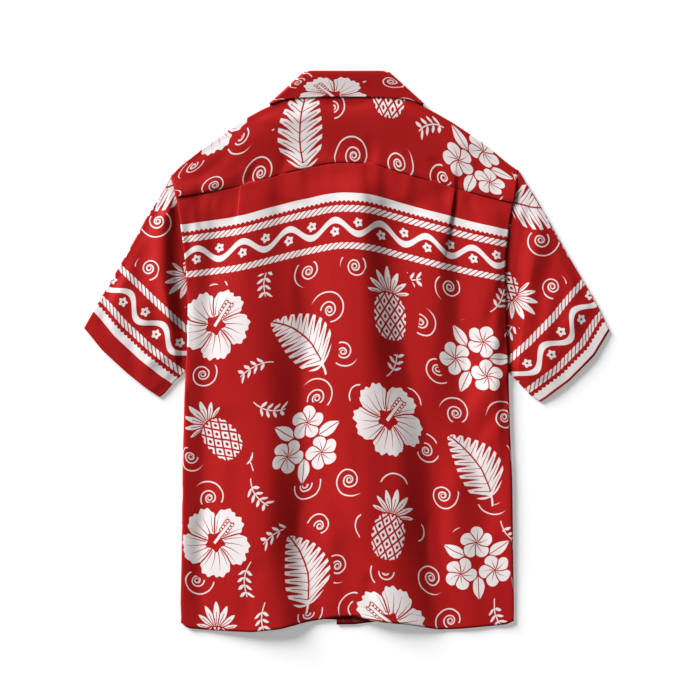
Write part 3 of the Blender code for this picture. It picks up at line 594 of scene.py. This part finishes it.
top_edge = {side: edge_x[side] - side * below_underarm
            * (CLOTH / 2 + (back_edge_height(side, back_rows) - FLOOR) / 2)
            for side in (-1, 1)}
across = top_edge[-1][:, None] + (top_edge[1] - top_edge[-1])[:, None] * back_shares
for pleat in PLEATS:
    at = top_edge[-1] + (top_edge[1] - top_edge[-1]) * CREASE_SHARE[pleat[0]]
    y_crease = back_y(np.full_like(back_rows, pleat[1]), back_rows)
    shift = (pleat_crease(pleat, y_crease) - at)[:, None]
    reach = np.abs(back_shares - CREASE_SHARE[pleat[0]]) / 0.15
    across = across + shift * (1 - soft(reach))
up = back_y(across, back_rows[:, None])
rise = body_top(across, up) + body_relief(across, up) + pleat_relief(across, up)
rise = rise - 0.8 * soft((back_rows[:, None] - 1) * BACK_LENGTH / 3.2 + 1)
back_top = np.stack([across, up, rise], axis=-1)

down_cloth = 41.0 - (1 - back_rows[:, None]) * BACK_LENGTH
back_cloth = np.stack([across, np.broadcast_to(down_cloth, across.shape)], axis=-1)
back_sewing = np.stack([across, np.broadcast_to(back_rows[:, None] * BACK_LENGTH - 14,
                                                across.shape)], axis=-1)


def back_wrap(side):
    """The side fold and the strip turned under, from the seam outwards to the top's edge."""
    y = back_y(top_edge[side], back_rows)
    top = back_edge_height(side, back_rows)
    grow = soft((UNDERARM - back_rows) * BACK_LENGTH / 60)
    width = 4 + (RETURN_WIDTH - 4) * grow
    flat = [np.stack([top_edge[side] - side * width * (1 - s), y, np.full_like(y, FLOOR)], -1)
            for s in strip]
    fold = [half_round(edge_x[side], y, -side, 0, top, FLOOR, angle) for angle in turns]
    return flat + fold


left_wrap, right_wrap = back_wrap(-1), back_wrap(1)
wraps = len(left_wrap)
back_points = np.concatenate([np.stack(left_wrap, 1), back_top, np.stack(right_wrap[::-1], 1)],
                             axis=1)
out = np.linspace(wraps * 3.2, 3.2, wraps)[None, :]
left_cloth = np.stack(np.broadcast_arrays(back_cloth[:, :1, 0] - out, down_cloth), -1)
right_cloth = np.stack(np.broadcast_arrays(back_cloth[:, -1:, 0] + out[:, ::-1], down_cloth), -1)
back_cloth = np.concatenate([left_cloth, back_cloth, right_cloth], axis=1)
sew = back_sewing[:, :1].repeat(wraps, 1)
back_sewing = np.concatenate([sew, back_sewing, sew], axis=1)
back_keep = np.ones(back_points.shape[:2], bool)
above = back_rows > UNDERARM
back_keep[above, :wraps] = False
back_keep[above, -wraps - 1:] = False
back = cloth_piece("back_panel", back_points, back_cloth, back_sewing, back_keep)
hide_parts("back")

# ============================================================
# Yoke: one piece across the shoulders, sewn to the top of the back. It folds over the
# shoulders and ends in the seams at the tops of the fronts. The collar sits on its neck.
# ============================================================

SHOULDER = ((-228.3, 227.4), (-219, 238.3), (-182, 268.5), (-134, 301.6),
            (-106, 316.5), (-97, 319.9), (-80, 331.8), (-40, 337.2), (0, 338.3),
            (40, 337), (80, 331.5), (97, 319.9), (106, 315.8), (137, 298.4),
            (179, 270.5), (207, 247), (218.5, 238.6), (224.3, 234.5))
NECK_HALF = 80.0
ROLL_TOP = (47.0, 312.0)
FRONT_SEAM = {-1: (-220.6, 196.5), 1: (219.6, 204.0)}
YOKE_CREASES = (
    (-206, 222, -150, 262, -1.2, 9), (-180, 216, -120, 246, 0.9, 9),
    (204, 226, 150, 262, -1.2, 9), (176, 212, 130, 240, 0.8, 8),
    (-84, 236, -80, 268, -0.9, 7), (30, 247, 28, 280, -0.8, 7), (-30, 249, -28, 276, 0.6, 7),
    (118, 224, 112, 252, -0.9, 7), (-128, 222, -122, 246, -0.8, 6), (70, 238, 66, 262, 0.7, 6),
    (-100, 300, -40, 314, 1.0, 9), (100, 300, 44, 314, 1.0, 9), (-20, 322, 30, 324, -0.9, 6),
)


def front_seam(side, share):
    """Points of the seam between yoke and front, from the armhole to the neck."""
    start = np.array(FRONT_SEAM[side])
    end = np.array((side * ROLL_TOP[0], ROLL_TOP[1]))
    neck = (abs(start[0]) - 70.0) / (abs(start[0]) - ROLL_TOP[0])
    return start + (end - start) * neck * np.asarray(share)[..., None]


side_run = np.linspace(0, 1, 62)
neck_run = np.linspace(0, 1, 62)[1:-1]
left_top = -228.3 + (228.3 - NECK_HALF) * side_run
right_top = NECK_HALF + (224.3 - NECK_HALF) * side_run
neck_x = -NECK_HALF + 2 * NECK_HALF * neck_run
top_x = np.concatenate([left_top, neck_x, right_top])
low_x = np.concatenate([-222.3 + (222.3 - NECK_HALF) * side_run, neck_x,
                        NECK_HALF + (218 - NECK_HALF) * side_run])
seam_to = np.concatenate([front_seam(-1, side_run), np.stack([neck_x, neck_x * 0], -1),
                          front_seam(1, 1 - side_run)])
yoke_top = np.stack([top_x, drawn(SHOULDER, top_x, 5)], -1)
yoke_low = np.stack([low_x, drawn(YOKE_SEAM, low_x, 12) - 3.6], -1)
inward = yoke_low - yoke_top
inward /= np.linalg.norm(inward, axis=1)[:, None]


def yoke_rise(x, y):
    """Height of the yoke's cloth: on the seam it lies over the edge of the back."""
    seam = drawn(YOKE_SEAM, x, 12)
    inset = drawn(SHOULDER, x, 5) - y
    over = 0.55 * (1 - soft((y - seam + 4) / 26)) - 0.42 * (1 - soft((y - seam + 4) / 5))
    below = (body_relief(x, np.minimum(y, seam)) + pleat_relief(x, np.minimum(y, seam))) \
        * (1 - soft((y - seam) / 30))
    small = creases(x, y, YOKE_CREASES) + unevenness(x, y, 33, 0.5)
    swell = 1.7 * soft(inset / 34) * (1 - soft((inset - 34) / 50))
    return body_top(x, y) + over + below + (small + swell) * soft(inset / 16)


yoke_high = body_top(yoke_top[:, 0], yoke_top[:, 1])
layers = over_lapels(yoke_top[:, 0], yoke_top[:, 1], 10, 20)
yoke_under = FLOOR + LAYER * layers
at_neck = np.abs(top_x) < NECK_HALF - 0.1
flat = np.where(at_neck, 0, (yoke_high - yoke_under) / 2 + CLOTH / 2)
yoke_end = yoke_top + inward * flat[:, None]
yoke_shares = np.linspace(0, 1, 46)
yoke_points = []
for share in yoke_shares:
    spot = yoke_low + (yoke_end - yoke_low) * share
    yoke_points.append(np.column_stack([spot, yoke_rise(spot[:, 0], spot[:, 1])]))
for angle in (68, 45, 22, 0, -22, -45, -68, -90):
    yoke_points.append(half_round(yoke_top[:, 0], yoke_top[:, 1], inward[:, 0], inward[:, 1],
                                  yoke_high, yoke_under, angle))
for share in np.linspace(0, 1, 16)[1:]:
    spot = yoke_end + (seam_to - yoke_end) * share
    high = FLOOR + LAYER * over_lapels(spot[:, 0], spot[:, 1], 10, 20)
    yoke_points.append(np.column_stack([spot, high]))
yoke_points = np.stack(yoke_points)
run = np.concatenate([[0], np.cumsum(np.linalg.norm(np.diff(yoke_points, axis=0), axis=-1)
                                     .mean(axis=1))])
yoke_cloth = np.stack(np.broadcast_arrays(top_x[None, :], 60.0 + run[:, None]), -1)
yoke_sewing = np.stack(np.broadcast_arrays(top_x[None, :], run[:, None] - 3.0), -1)
yoke_keep = np.ones(yoke_points.shape[:2], bool)
yoke_keep[len(yoke_shares) - 1:, np.abs(top_x + 1e-6) < NECK_HALF] = False
yoke = cloth_piece("yoke_panel", yoke_points, yoke_cloth, yoke_sewing, yoke_keep)
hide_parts("yoke")

# ============================================================
# Fronts: two panels under the back, seen only from below and where the hem hangs out. The
# wearer's left front laps over the right one and both turn outwards as lapels at the neck.
# ============================================================

FRONT_HEM = {-1: ((-172, -351), (-86, -350), (-50, -348), (13, -350)),
             1: ((-13, -355.5), (13, -355), (34, -352.2), (60, -349.5), (86, -349),
                 (172, -350))}
ROLL_BOTTOM = (3.0, 213.0)
PLACKET_TOP = 200.0
# Share of the way up the roll line, x, y of the lapel's free edge
LAPEL_EDGE = np.array(((0.0, 9.0, 206.5), (0.2, 42.0, 214.0), (0.45, 80.0, 234.0),
                       (0.7, 112.0, 262.0), (0.85, 97.0, 279.5), (1.0, 82.0, 296.6)))


def front_rise(x, y, over):
    """Middle of the fronts' cloth; over is 1 on the front that laps over the other."""
    at_placket = over_placket(x, y, 0, 15)
    flat = at_placket * soft((200 - y) / 70)
    lift = 0.35 * np.maximum(0, fold_relief(x, y) - 1.5) * (1 - flat)
    lift = lift + unevenness(x, y, 27, 0.2) * (1 - flat) * soft((y + 345) / 60) + 0.2 * (1 - flat)
    layers = over_lapels(x, y, 10, 20) + over * at_placket
    return FLOOR + LAYER * layers + over_buttons(x, y, 0, 15) + lift * soft((200 - np.abs(x)) / 30)


def front_panel(name, side):
    over = 1.0 if side > 0 else 0.0
    low_rows, lapel_rows = np.linspace(0, 1, 121), np.linspace(0, 1, 26)
    under = back_rows[back_rows <= UNDERARM]
    width = 4 + (RETURN_WIDTH - 4) * soft((UNDERARM - under) * BACK_LENGTH / 60)
    seam_x = top_edge[side][:len(under)] - side * (width + 0.2)
    seam_y = back_y(top_edge[side], back_rows)[:len(under)]
    rows = len(low_rows) + len(lapel_rows)
    top_y = front_seam(side, 0.0)[1] - 0.2
    count = int(rows * 0.62)
    pick = np.linspace(0, len(under) - 1, count)
    outer_y = np.interp(pick, np.arange(len(under)), seam_y)
    outer_x = np.interp(pick, np.arange(len(under)), seam_x)
    more_y = np.linspace(outer_y[-1] + 3, top_y, rows - count)
    outer_y = np.concatenate([outer_y, more_y])
    outer_x = np.concatenate([outer_x, drawn(EDGE[side], more_y) - side * 0.1])
    placket_x = -side * PLACKET_HALF
    placket_low = float(np.interp(placket_x, *np.array(FRONT_HEM[side]).T))
    inner_y = placket_low + (PLACKET_TOP - placket_low) * low_rows
    roll = np.array(ROLL_BOTTOM) + (np.array(ROLL_TOP) - ROLL_BOTTOM) * lapel_rows[:, None]
    inner_x = np.concatenate([np.full_like(low_rows, placket_x), roll[:, 0] * side])
    inner_y = np.concatenate([inner_y, roll[:, 1]])
    body = np.concatenate([np.linspace(0, 0.86, 62), np.linspace(0.87, 1, 22)])
    x = outer_x[:, None] + (inner_x - outer_x)[:, None] * body
    y = outer_y[:, None] + (inner_y - outer_y)[:, None] * body
    hem = np.interp(x[0], *np.array(FRONT_HEM[side]).T) - y[0]
    y = y + hem[None, :] * (1 - soft(np.arange(rows) / 26))[:, None]
    z = front_rise(x, y, over)
    columns = [np.stack([x[:, n], y[:, n], z[:, n]], -1) for n in range(len(body))]
    edge = np.array([[np.interp(s, LAPEL_EDGE[:, 0], LAPEL_EDGE[:, n]) for n in (1, 2)]
                     for s in lapel_rows])
    edge = np.concatenate([np.tile(edge[:1], (len(low_rows), 1)), edge])
    edge[:, 0] *= side
    inner = np.stack([inner_x, inner_y], -1)
    out = edge - inner
    out /= np.linalg.norm(out, axis=1)[:, None]
    top = front_rise(inner_x, inner_y, over)
    lapel = np.arange(rows) >= len(low_rows)
    inset = np.where(lapel, CLOTH / 2 + (top - FLOOR) / 2, 0)
    start = inner + out * inset[:, None]
    columns[-1] = np.column_stack([start, top])
    for angle in (60, 30, 0, -30, -60, -90):
        columns.append(half_round(inner_x, inner_y, out[:, 0], out[:, 1], top, FLOOR, angle))
    for share in np.linspace(0, 1, 16)[1:]:
        columns.append(np.column_stack([start + (edge - start) * share, top * 0 + FLOOR]))
    points = np.stack(columns, axis=1)
    keep = np.ones(points.shape[:2], bool)
    keep[:len(low_rows), len(body) - 1:] = False
    cloth = np.stack([points[..., 0] + 7, points[..., 1] - 168], -1)
    faced = np.zeros_like(keep)
    faced[len(low_rows) - 1:, len(body) - 1:] = True
    from_placket = np.abs(points[..., 0] - placket_x)
    sewing = np.stack([points[..., 1], np.where(faced, 40.0, from_placket - 26.0)], -1)
    return cloth_piece(name, points, cloth, sewing, keep, flip=side < 0, faced=faced)


front_left = front_panel("front_left_panel", -1)
front_right = front_panel("front_right_panel", 1)
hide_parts("front_left")
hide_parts("front_right")

# ============================================================
# Sleeves: short tubes sewn into the armholes, lying flat with a fold at the outer edge and
# at the underarm seam. The border print runs along the turned-up hem.
# ============================================================

SLEEVES = {
    -1: {"armhole": ((-228.3, 227.4), (-220.4, 195.5), (-214.5, 154), (-209.2, 112),
                     (-206.3, 54), (-207.2, 8), (-209.6, -27)),
         "hem": ((-341.6, 30.6), (-317.8, 1.4), (-285.4, -28.3), (-260.5, -48.2), (-243, -59.6)),
         "outer": ((-228.3, 227.4), (-235.5, 213), (-261.6, 172), (-270, 155),
                   (-295.4, 110.9), (-320.2, 68.6), (-341.6, 30.6)),
         "under": ((-209.6, -27), (-223, -38.5), (-236.5, -54.5), (-243, -59.6))},
    1: {"armhole": ((224.3, 234.5), (219.6, 204), (212.6, 171), (207.2, 125), (206.4, 93),
                    (208.5, 28), (210.8, -27)),
        "hem": ((342.2, 27), (322.3, -6), (290, -38.4), (258.8, -61.9), (252.5, -65.8)),
        "outer": ((224.3, 234.5), (234, 219), (249.5, 193.5), (262.6, 170.6), (287.6, 125.8),
                  (309.9, 88.5), (324.9, 63.7), (342.2, 27)),
        "under": ((210.8, -27), (226, -43), (240.2, -58.2), (252.5, -65.8))}}
HEM_TO_BAND = {-1: 24.0, 1: 3.0}
# Small creases: ends x, y and x, y, then rise and half-width
SLEEVE_CREASES = {
    -1: ((-234, 206, -227, 20, 6.0, 11), (-246, 168, -238, 60, 1.6, 9),
         (-226, -6, -262, -20, 1.8, 9), (-224, 30, -268, 20, -1.2, 10),
         (-300, 80, -262, 56, 1.3, 11), (-318, 44, -280, 20, -1.1, 10),
         (-270, 120, -240, 30, -1.5, 12), (-290, 90, -300, 10, 1.4, 11),
         (-252, 100, -262, -20, 1.2, 10), (-276, 20, -272, -36, -1.0, 9)),
    1: ((252, 172, 234, 90, 2.0, 11), (236, 140, 226, 20, -1.4, 9),
        (270, 130, 252, 20, -1.6, 12), (296, 96, 300, 10, 1.5, 11),
        (224, -20, 262, -30, 1.6, 9), (230, 26, 272, 6, -1.1, 10),
        (316, 60, 282, 20, 1.2, 10), (262, 60, 268, -40, 1.3, 10),
        (240, 204, 226, 168, 1.2, 8))}


def along(points, shares, reach=0.035):
    """Points at shares of the length of a line, with its corners rounded."""
    points = np.array(points, float)
    runs = np.concatenate([[0], np.cumsum(np.linalg.norm(np.diff(points, axis=0), axis=1))])
    runs /= runs[-1]
    calm = np.minimum(1, 8 * np.minimum(shares, 1 - shares))
    taps = [np.clip(shares + reach * t * calm, 0, 1) for t in np.linspace(-1, 1, 9)]
    return sum(np.stack([np.interp(tap, runs, points[:, n]) for n in (0, 1)], -1)
               for tap in taps) / 9


def sleeve_flat(side, across, share):
    """Points of the flat sleeve between its four edges."""
    shape = SLEEVES[side]
    across, share = np.broadcast_arrays(across, share)
    edges = {name: along(shape[name], across if name in ("armhole", "hem") else share)
             for name in shape}
    a, s = across[..., None], share[..., None]
    ends = [np.array(shape[name][n]) for name, n in (("armhole", 0), ("armhole", -1),
                                                     ("hem", 0), ("hem", -1))]
    twice = (ends[0] * (1 - a) + ends[1] * a) * (1 - s) + (ends[2] * (1 - a) + ends[3] * a) * s
    return edges["armhole"] * (1 - s) + edges["hem"] * s + edges["outer"] * (1 - a) \
        + edges["under"] * a - twice


def sleeve_swell(side, x, y, across, share):
    """Rise of a sleeve's upper layer over its lower one."""
    body = np.interp(share, (0, 0.06, 0.13, 0.28, 0.55, 0.8, 1.0),
                     (0.4, 0.3, 0.5, 4.2, 4.0, 2.6, 1.8))
    round_off = np.sin(np.pi * np.clip(across, 0, 1)) ** 0.7
    small = creases(x, y, SLEEVE_CREASES[side]) + unevenness(x, y, 21, 0.4)
    edge = soft(across / 0.12) * soft((1 - across) / 0.12) * soft(share / 0.08)
    return body * (0.3 + 0.7 * round_off) + small * edge


def sleeve(name, side):
    shares = np.linspace(0, 1, 84)[:, None]
    tops = np.linspace(0, 1, 74)
    bends = (62, 36, 12, -12, -36, -62)
    middle_z = FLOOR + LAYER
    ends = [sleeve_flat(side, np.full(1, e), shares)[:, 0] for e in (0.0, 1.0)]
    crest = np.interp(shares[:, 0], (0, 0.06, 0.3, 1), (0.5, 0.5, 1.4, 0.7))
    edge_top = middle_z + crest * 0.6
    length = np.linalg.norm(ends[0] - ends[1], axis=1)
    inset = ((CLOTH + edge_top - FLOOR) / 2 / length)[:, None]
    at = inset + (1 - 2 * inset) * tops
    upper = sleeve_flat(side, at, shares + at * 0)
    tuck = 5.0 * soft(at * 8) * soft((1 - at) * 8) * (1 - soft(shares / 0.05))
    upper[..., 0] -= side * tuck
    swell = sleeve_swell(side, upper[..., 0], upper[..., 1], tops + shares * 0, shares + at * 0)
    ride_up = soft(tops / 0.1) * soft((1 - tops) / 0.1)
    high = edge_top[:, None] + np.maximum(swell - 0.3, -0.7) * ride_up
    columns = [np.column_stack([upper[:, n], high[:, n]]) for n in range(len(tops))]

    def bend(edge, near, angles):
        line = sleeve_flat(side, np.full(1, edge), shares)[:, 0]
        inner = sleeve_flat(side, np.full(1, near), shares)[:, 0]
        into = inner - line
        into /= np.linalg.norm(into, axis=1)[:, None]
        return [half_round(line[:, 0], line[:, 1], into[:, 0], into[:, 1], edge_top, FLOOR, a)
                for a in angles]

    columns += bend(1.0, 0.97, bends)
    lower = sleeve_flat(side, at, shares + at * 0)
    columns += [np.column_stack([lower[:, n], np.full(len(shares), FLOOR)])
                for n in reversed(range(0, len(tops), 3))]
    columns += bend(0.0, 0.03, bends[::-1])
    columns.append(columns[0])
    points = np.stack(columns, axis=1)
    hem = np.array(SLEEVES[side]["hem"], float)
    chord = hem[-1] - hem[0]
    chord /= np.linalg.norm(chord)
    normal = np.array((-chord[1], chord[0])) * (-side)
    if (ends[0][0] - hem[0]) @ normal < 0:
        normal = -normal
    offset = points[..., :2] - hem[0]
    ahead, away = offset @ chord, offset @ normal
    bow = np.interp(ahead, (hem - hem[0]) @ chord, (hem - hem[0]) @ normal)
    away = away - bow * (1 - soft(away / 120))
    cloth = np.stack([ahead, HEM_TO_BAND[side] - away], -1)
    cloth[:, len(tops) + 3:, 0] *= -1
    sewing = np.stack([ahead, away - 22.0], -1)
    return cloth_piece(name, points, cloth, sewing, closed=True, flip=side < 0)


for name, side, node in (("sleeve_left_tube", -1, "sleeve_left"),
                         ("sleeve_right_tube", 1, "sleeve_right")):
    tube = sleeve(name, side)
    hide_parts(node)

# ============================================================
# Collar: a one-piece camp collar. It stands up from the neck seam, rolls over and falls
# down the back of the yoke, and its two ends turn over the shoulders to lie underneath.
# ============================================================

# Right half, from the front end round to the shoulder, then to the middle of the back:
# neck seam, roll line and free edge, x and y of each
COLLAR_FRONT = (((50.5, 311.6), (47.0, 313.4), (122.0, 280.5)),
                ((67.5, 300.5), (48.0, 322.0), (115.0, 293.5)),
                ((73.0, 317.0), (50.5, 342.0), (108.0, 307.0)))
COLLAR_BACK = (((72.0, 333.8), (49.5, 365.0), (83.0, 328.0)),
               ((54.0, 336.3), (38.0, 365.0), (62.0, 329.6)),
               ((27.0, 338.6), (20.0, 365.0), (30.0, 330.8)),
               ((0.0, 339.2), (0.0, 365.0), (0.0, 331.0)))
COLLAR_FOLD = ((101.3, 322.6), (54.6, 365.2))
COLLAR_LINES = (("stand", 0.0), ("stand", 0.5), ("stand", 1.0), ("roll", 45), ("roll", 0),
                ("roll", -45), ("fall", 0.0), ("fall", 0.35), ("fall", 0.7), ("fall", 1.0))


def hairpin(station, heights, line):
    """A point of the collar's section at a station: stand, roll and fall."""
    kind, value = line
    seam, roll, edge = (np.array(p) for p in station)
    seam_z, stand_z, fall_z, edge_z = heights
    radius = abs(fall_z - stand_z) / 2
    into = (edge - roll) / np.linalg.norm(edge - roll)
    turn = roll + into * (radius + CLOTH / 2)
    if kind == "roll":
        angle = value if stand_z > fall_z else -value
        return half_round(roll[0], roll[1], into[0], into[1], max(stand_z, fall_z),
                          min(stand_z, fall_z), angle)
    if kind == "stand":
        return np.append(seam + (turn - seam) * value, seam_z + (stand_z - seam_z) * value)
    high = fall_z + (edge_z - fall_z) * float(soft(value / 0.9))
    return np.append(turn + (edge - turn) * value, high)


def over_shoulder(angle, line):
    """A point where the collar turns over the shoulder, its fall outside its stand."""
    kind, value = line
    low, high = np.array(COLLAR_FOLD)
    length = np.linalg.norm(high - low)
    ahead = (high - low) / length
    aside = np.array((ahead[1], -ahead[0]))
    grow = 0.4 * {"stand": value, "roll": 1.0, "fall": 1.0 - value}[kind]
    outer, inner = 1.5 * LAYER + grow, 0.5 * LAYER + 0.75 * grow
    start = length - 3.2
    if kind == "fall":
        radius, q = outer, start + (0.5 - start) * value
    elif kind == "stand":
        radius, q = inner, 25.5 + (start - 25.5) * value
    else:
        radius = (outer + inner) / 2 - (outer - inner) / 2 * math.sin(math.radians(value))
        q = start + 2.3 * math.cos(math.radians(value))
    depth = -(outer + CLOTH / 2) + radius * math.cos(math.radians(angle))
    spot = low + ahead * q + aside * depth
    return np.append(spot, FLOOR + outer + radius * math.sin(math.radians(angle)))


half = [("front", s) for s in COLLAR_FRONT] + [("turn", a) for a in (-90, -45, 0, 45, 90)]
half += [("back", s) for s in COLLAR_BACK]
stations = [(-1, s) for s in half] + [(1, s) for s in reversed(half[:-1])]
collar_rows = []
for line in COLLAR_LINES:
    row = []
    for side, (kind, value) in stations:
        if kind == "front":
            point = hairpin(value, (FLOOR + LAYER, FLOOR + LAYER, FLOOR, FLOOR), line)
        elif kind == "turn":
            point = over_shoulder(value, line)
        else:
            stand_z = FLOOR + 2 * LAYER + 0.7
            fall_z = stand_z + 2.2 + 1.0 * float(soft(COLLAR_BACK.index(value) / 2))
            point = hairpin(value, (FLOOR + 2 * LAYER, stand_z, fall_z,
                                    FLOOR + 3 * LAYER - 0.4), line)
        row.append(point * (side, 1, 1))
    collar_rows.append(row)
collar_points = np.array(collar_rows)
down = np.cumsum(np.linalg.norm(np.diff(collar_points, axis=0), axis=-1).mean(axis=1))
from_edge = (down[-1] - np.concatenate([[0], down]))[:, None] + collar_points[..., 0] * 0
collar_cloth = np.stack([collar_points[..., 0] + 77, 297 + from_edge], -1)
collar_sewing = np.stack([collar_points[..., 0], from_edge - 5.0], -1)
collar = cloth_piece("collar_piece", collar_points, collar_cloth, collar_sewing, flip=True)
rounder = collar.modifiers.new("round", "SUBSURF")
rounder.levels = rounder.render_levels = 3
collar.modifiers.move(1, 0)
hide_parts("collar")

# ============================================================
# Buttons: five of cream shell, sewn to the wearer's right front and under the left one, face
# down on the surface.
# ============================================================

BUTTON_PROFILE = ((0.0, 1.5), (3.2, 1.5), (3.9, 1.75), (4.4, 2.0), (5.1, 2.0), (5.6, 1.7),
                  (5.75, 1.2), (5.5, 0.6), (4.9, 0.1), (4.2, 0.0), (3.6, 0.25), (0.0, 0.25))
shell = bpy.data.materials.new("cream_shell")
shell.use_nodes = True
start = Wire(shell.node_tree)
spot = start.make("ShaderNodeTexCoord", {}, {}, out=3)
spot_x, spot_y = spot.parts()
ax = spot_x * 1000
ay = spot_y * 1000
rows_up = (ay - BUTTON_ROWS[-1]) / (BUTTON_ROWS[0] - BUTTON_ROWS[1])
by = (fraction(rows_up + 0.5) - 0.5) * (BUTTON_ROWS[0] - BUTTON_ROWS[1])
holes = ink(0.95 - length(abs(ax) - 1.5, abs(by) - 1.5), 0.3)
threads = ink(0.34 - abs(abs(ax) - 1.5), 0.2) * ink(1.5 - abs(by))
grain = start.make("ShaderNodeTexNoise", {}, {"Vector": spot, "Scale": 160.0, "Detail": 3.0,
                                              "Distortion": 1.5})
cream = grain.colour((0.62, 0.55, 0.43, 1), (0.86, 0.81, 0.72, 1))
# The four thread holes are painted near black: painted shade in holes that the mesh does not cut.
# The bump also dents them.
shaded_holes = (holes * 0.9).colour(cream, (0.08, 0.05, 0.04, 1))
sewn_on = threads.colour(shaded_holes, (0.45, 0.02, 0.02, 1))
dip = start.make("ShaderNodeBump", {}, {"Height": threads * 0.5 - holes, "Strength": 0.7,
                                        "Distance": 0.0005})
shader = shell.node_tree.nodes["Principled BSDF"]
shell.node_tree.links.new(sewn_on.socket, shader.inputs["Base Color"])
shell.node_tree.links.new(dip.socket, shader.inputs["Normal"])
shell.node_tree.links.new((grain * 0.2 + 0.2).socket, shader.inputs["Roughness"])
for number, y in enumerate(BUTTON_ROWS, start=1):
    bm = bmesh.new()
    rim = [bm.verts.new((r * MM, 0, z * MM)) for r, z in BUTTON_PROFILE]
    edges = [bm.edges.new(pair) for pair in zip(rim, rim[1:])]
    bmesh.ops.spin(bm, geom=rim + edges, cent=(0, 0, 0), axis=(0, 0, 1), angle=math.tau,
                   steps=40, use_merge=True)
    bmesh.ops.remove_doubles(bm, verts=bm.verts, dist=0.001 * MM)
    bmesh.ops.recalc_face_normals(bm, faces=bm.faces)
    bmesh.ops.translate(bm, verts=bm.verts, vec=(0, y * MM, 0))
    for face in bm.faces:
        face.smooth = True
    button = finished(f"shirt_button_{number}", bm, shell)
    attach(button, "root")
    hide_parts(f"button_{number}")

# ============================================================
# Floor, light and camera: a white table seen from straight above, with soft light from
# the upper left.
# ============================================================

bm = bmesh.new()
bmesh.ops.create_grid(bm, x_segments=1, y_segments=1, size=6.0)
bmesh.ops.translate(bm, verts=bm.verts, vec=(0, 0, -0.1 * MM))
white = bpy.data.materials.new("white_table")
white.use_nodes = True
paint = white.node_tree.nodes["Principled BSDF"].inputs
paint["Base Color"].default_value = (0.8, 0.8, 0.8, 1)
paint["Roughness"].default_value = 0.9
paint["Emission Color"].default_value = (1, 1, 1, 1)
paint["Emission Strength"].default_value = 0.315
table = finished("table", bm, white)

world = bpy.data.worlds.new("studio")
bpy.context.scene.world = world
world.use_nodes = True
sky = world.node_tree.nodes["Background"].inputs
sky["Color"].default_value = (1, 1, 1, 1)
sky["Strength"].default_value = 0.12

key = bpy.data.lights.new("key", "SUN")
key.angle = math.radians(30)
key.energy = 7.0
key_object = bpy.data.objects.new("key", key)
key_object.location = (-0.72, 0.68, 0.36)
key_object.rotation_euler = (-key_object.location).to_track_quat("-Z", "Y").to_euler()
bpy.context.collection.objects.link(key_object)

lens = bpy.data.cameras.new("overhead")
LENS, SENSOR = 135.0, 36.0
PICTURE_WIDTH = 0.910
lens.lens, lens.sensor_width = LENS, SENSOR
camera = bpy.data.objects.new("overhead", lens)
camera.location = (4.55 * MM, 1.8 * MM, PICTURE_WIDTH * LENS / SENSOR + 0.006)
bpy.context.collection.objects.link(camera)
bpy.context.scene.camera = camera
bpy.context.scene.view_settings.view_transform = "Standard"
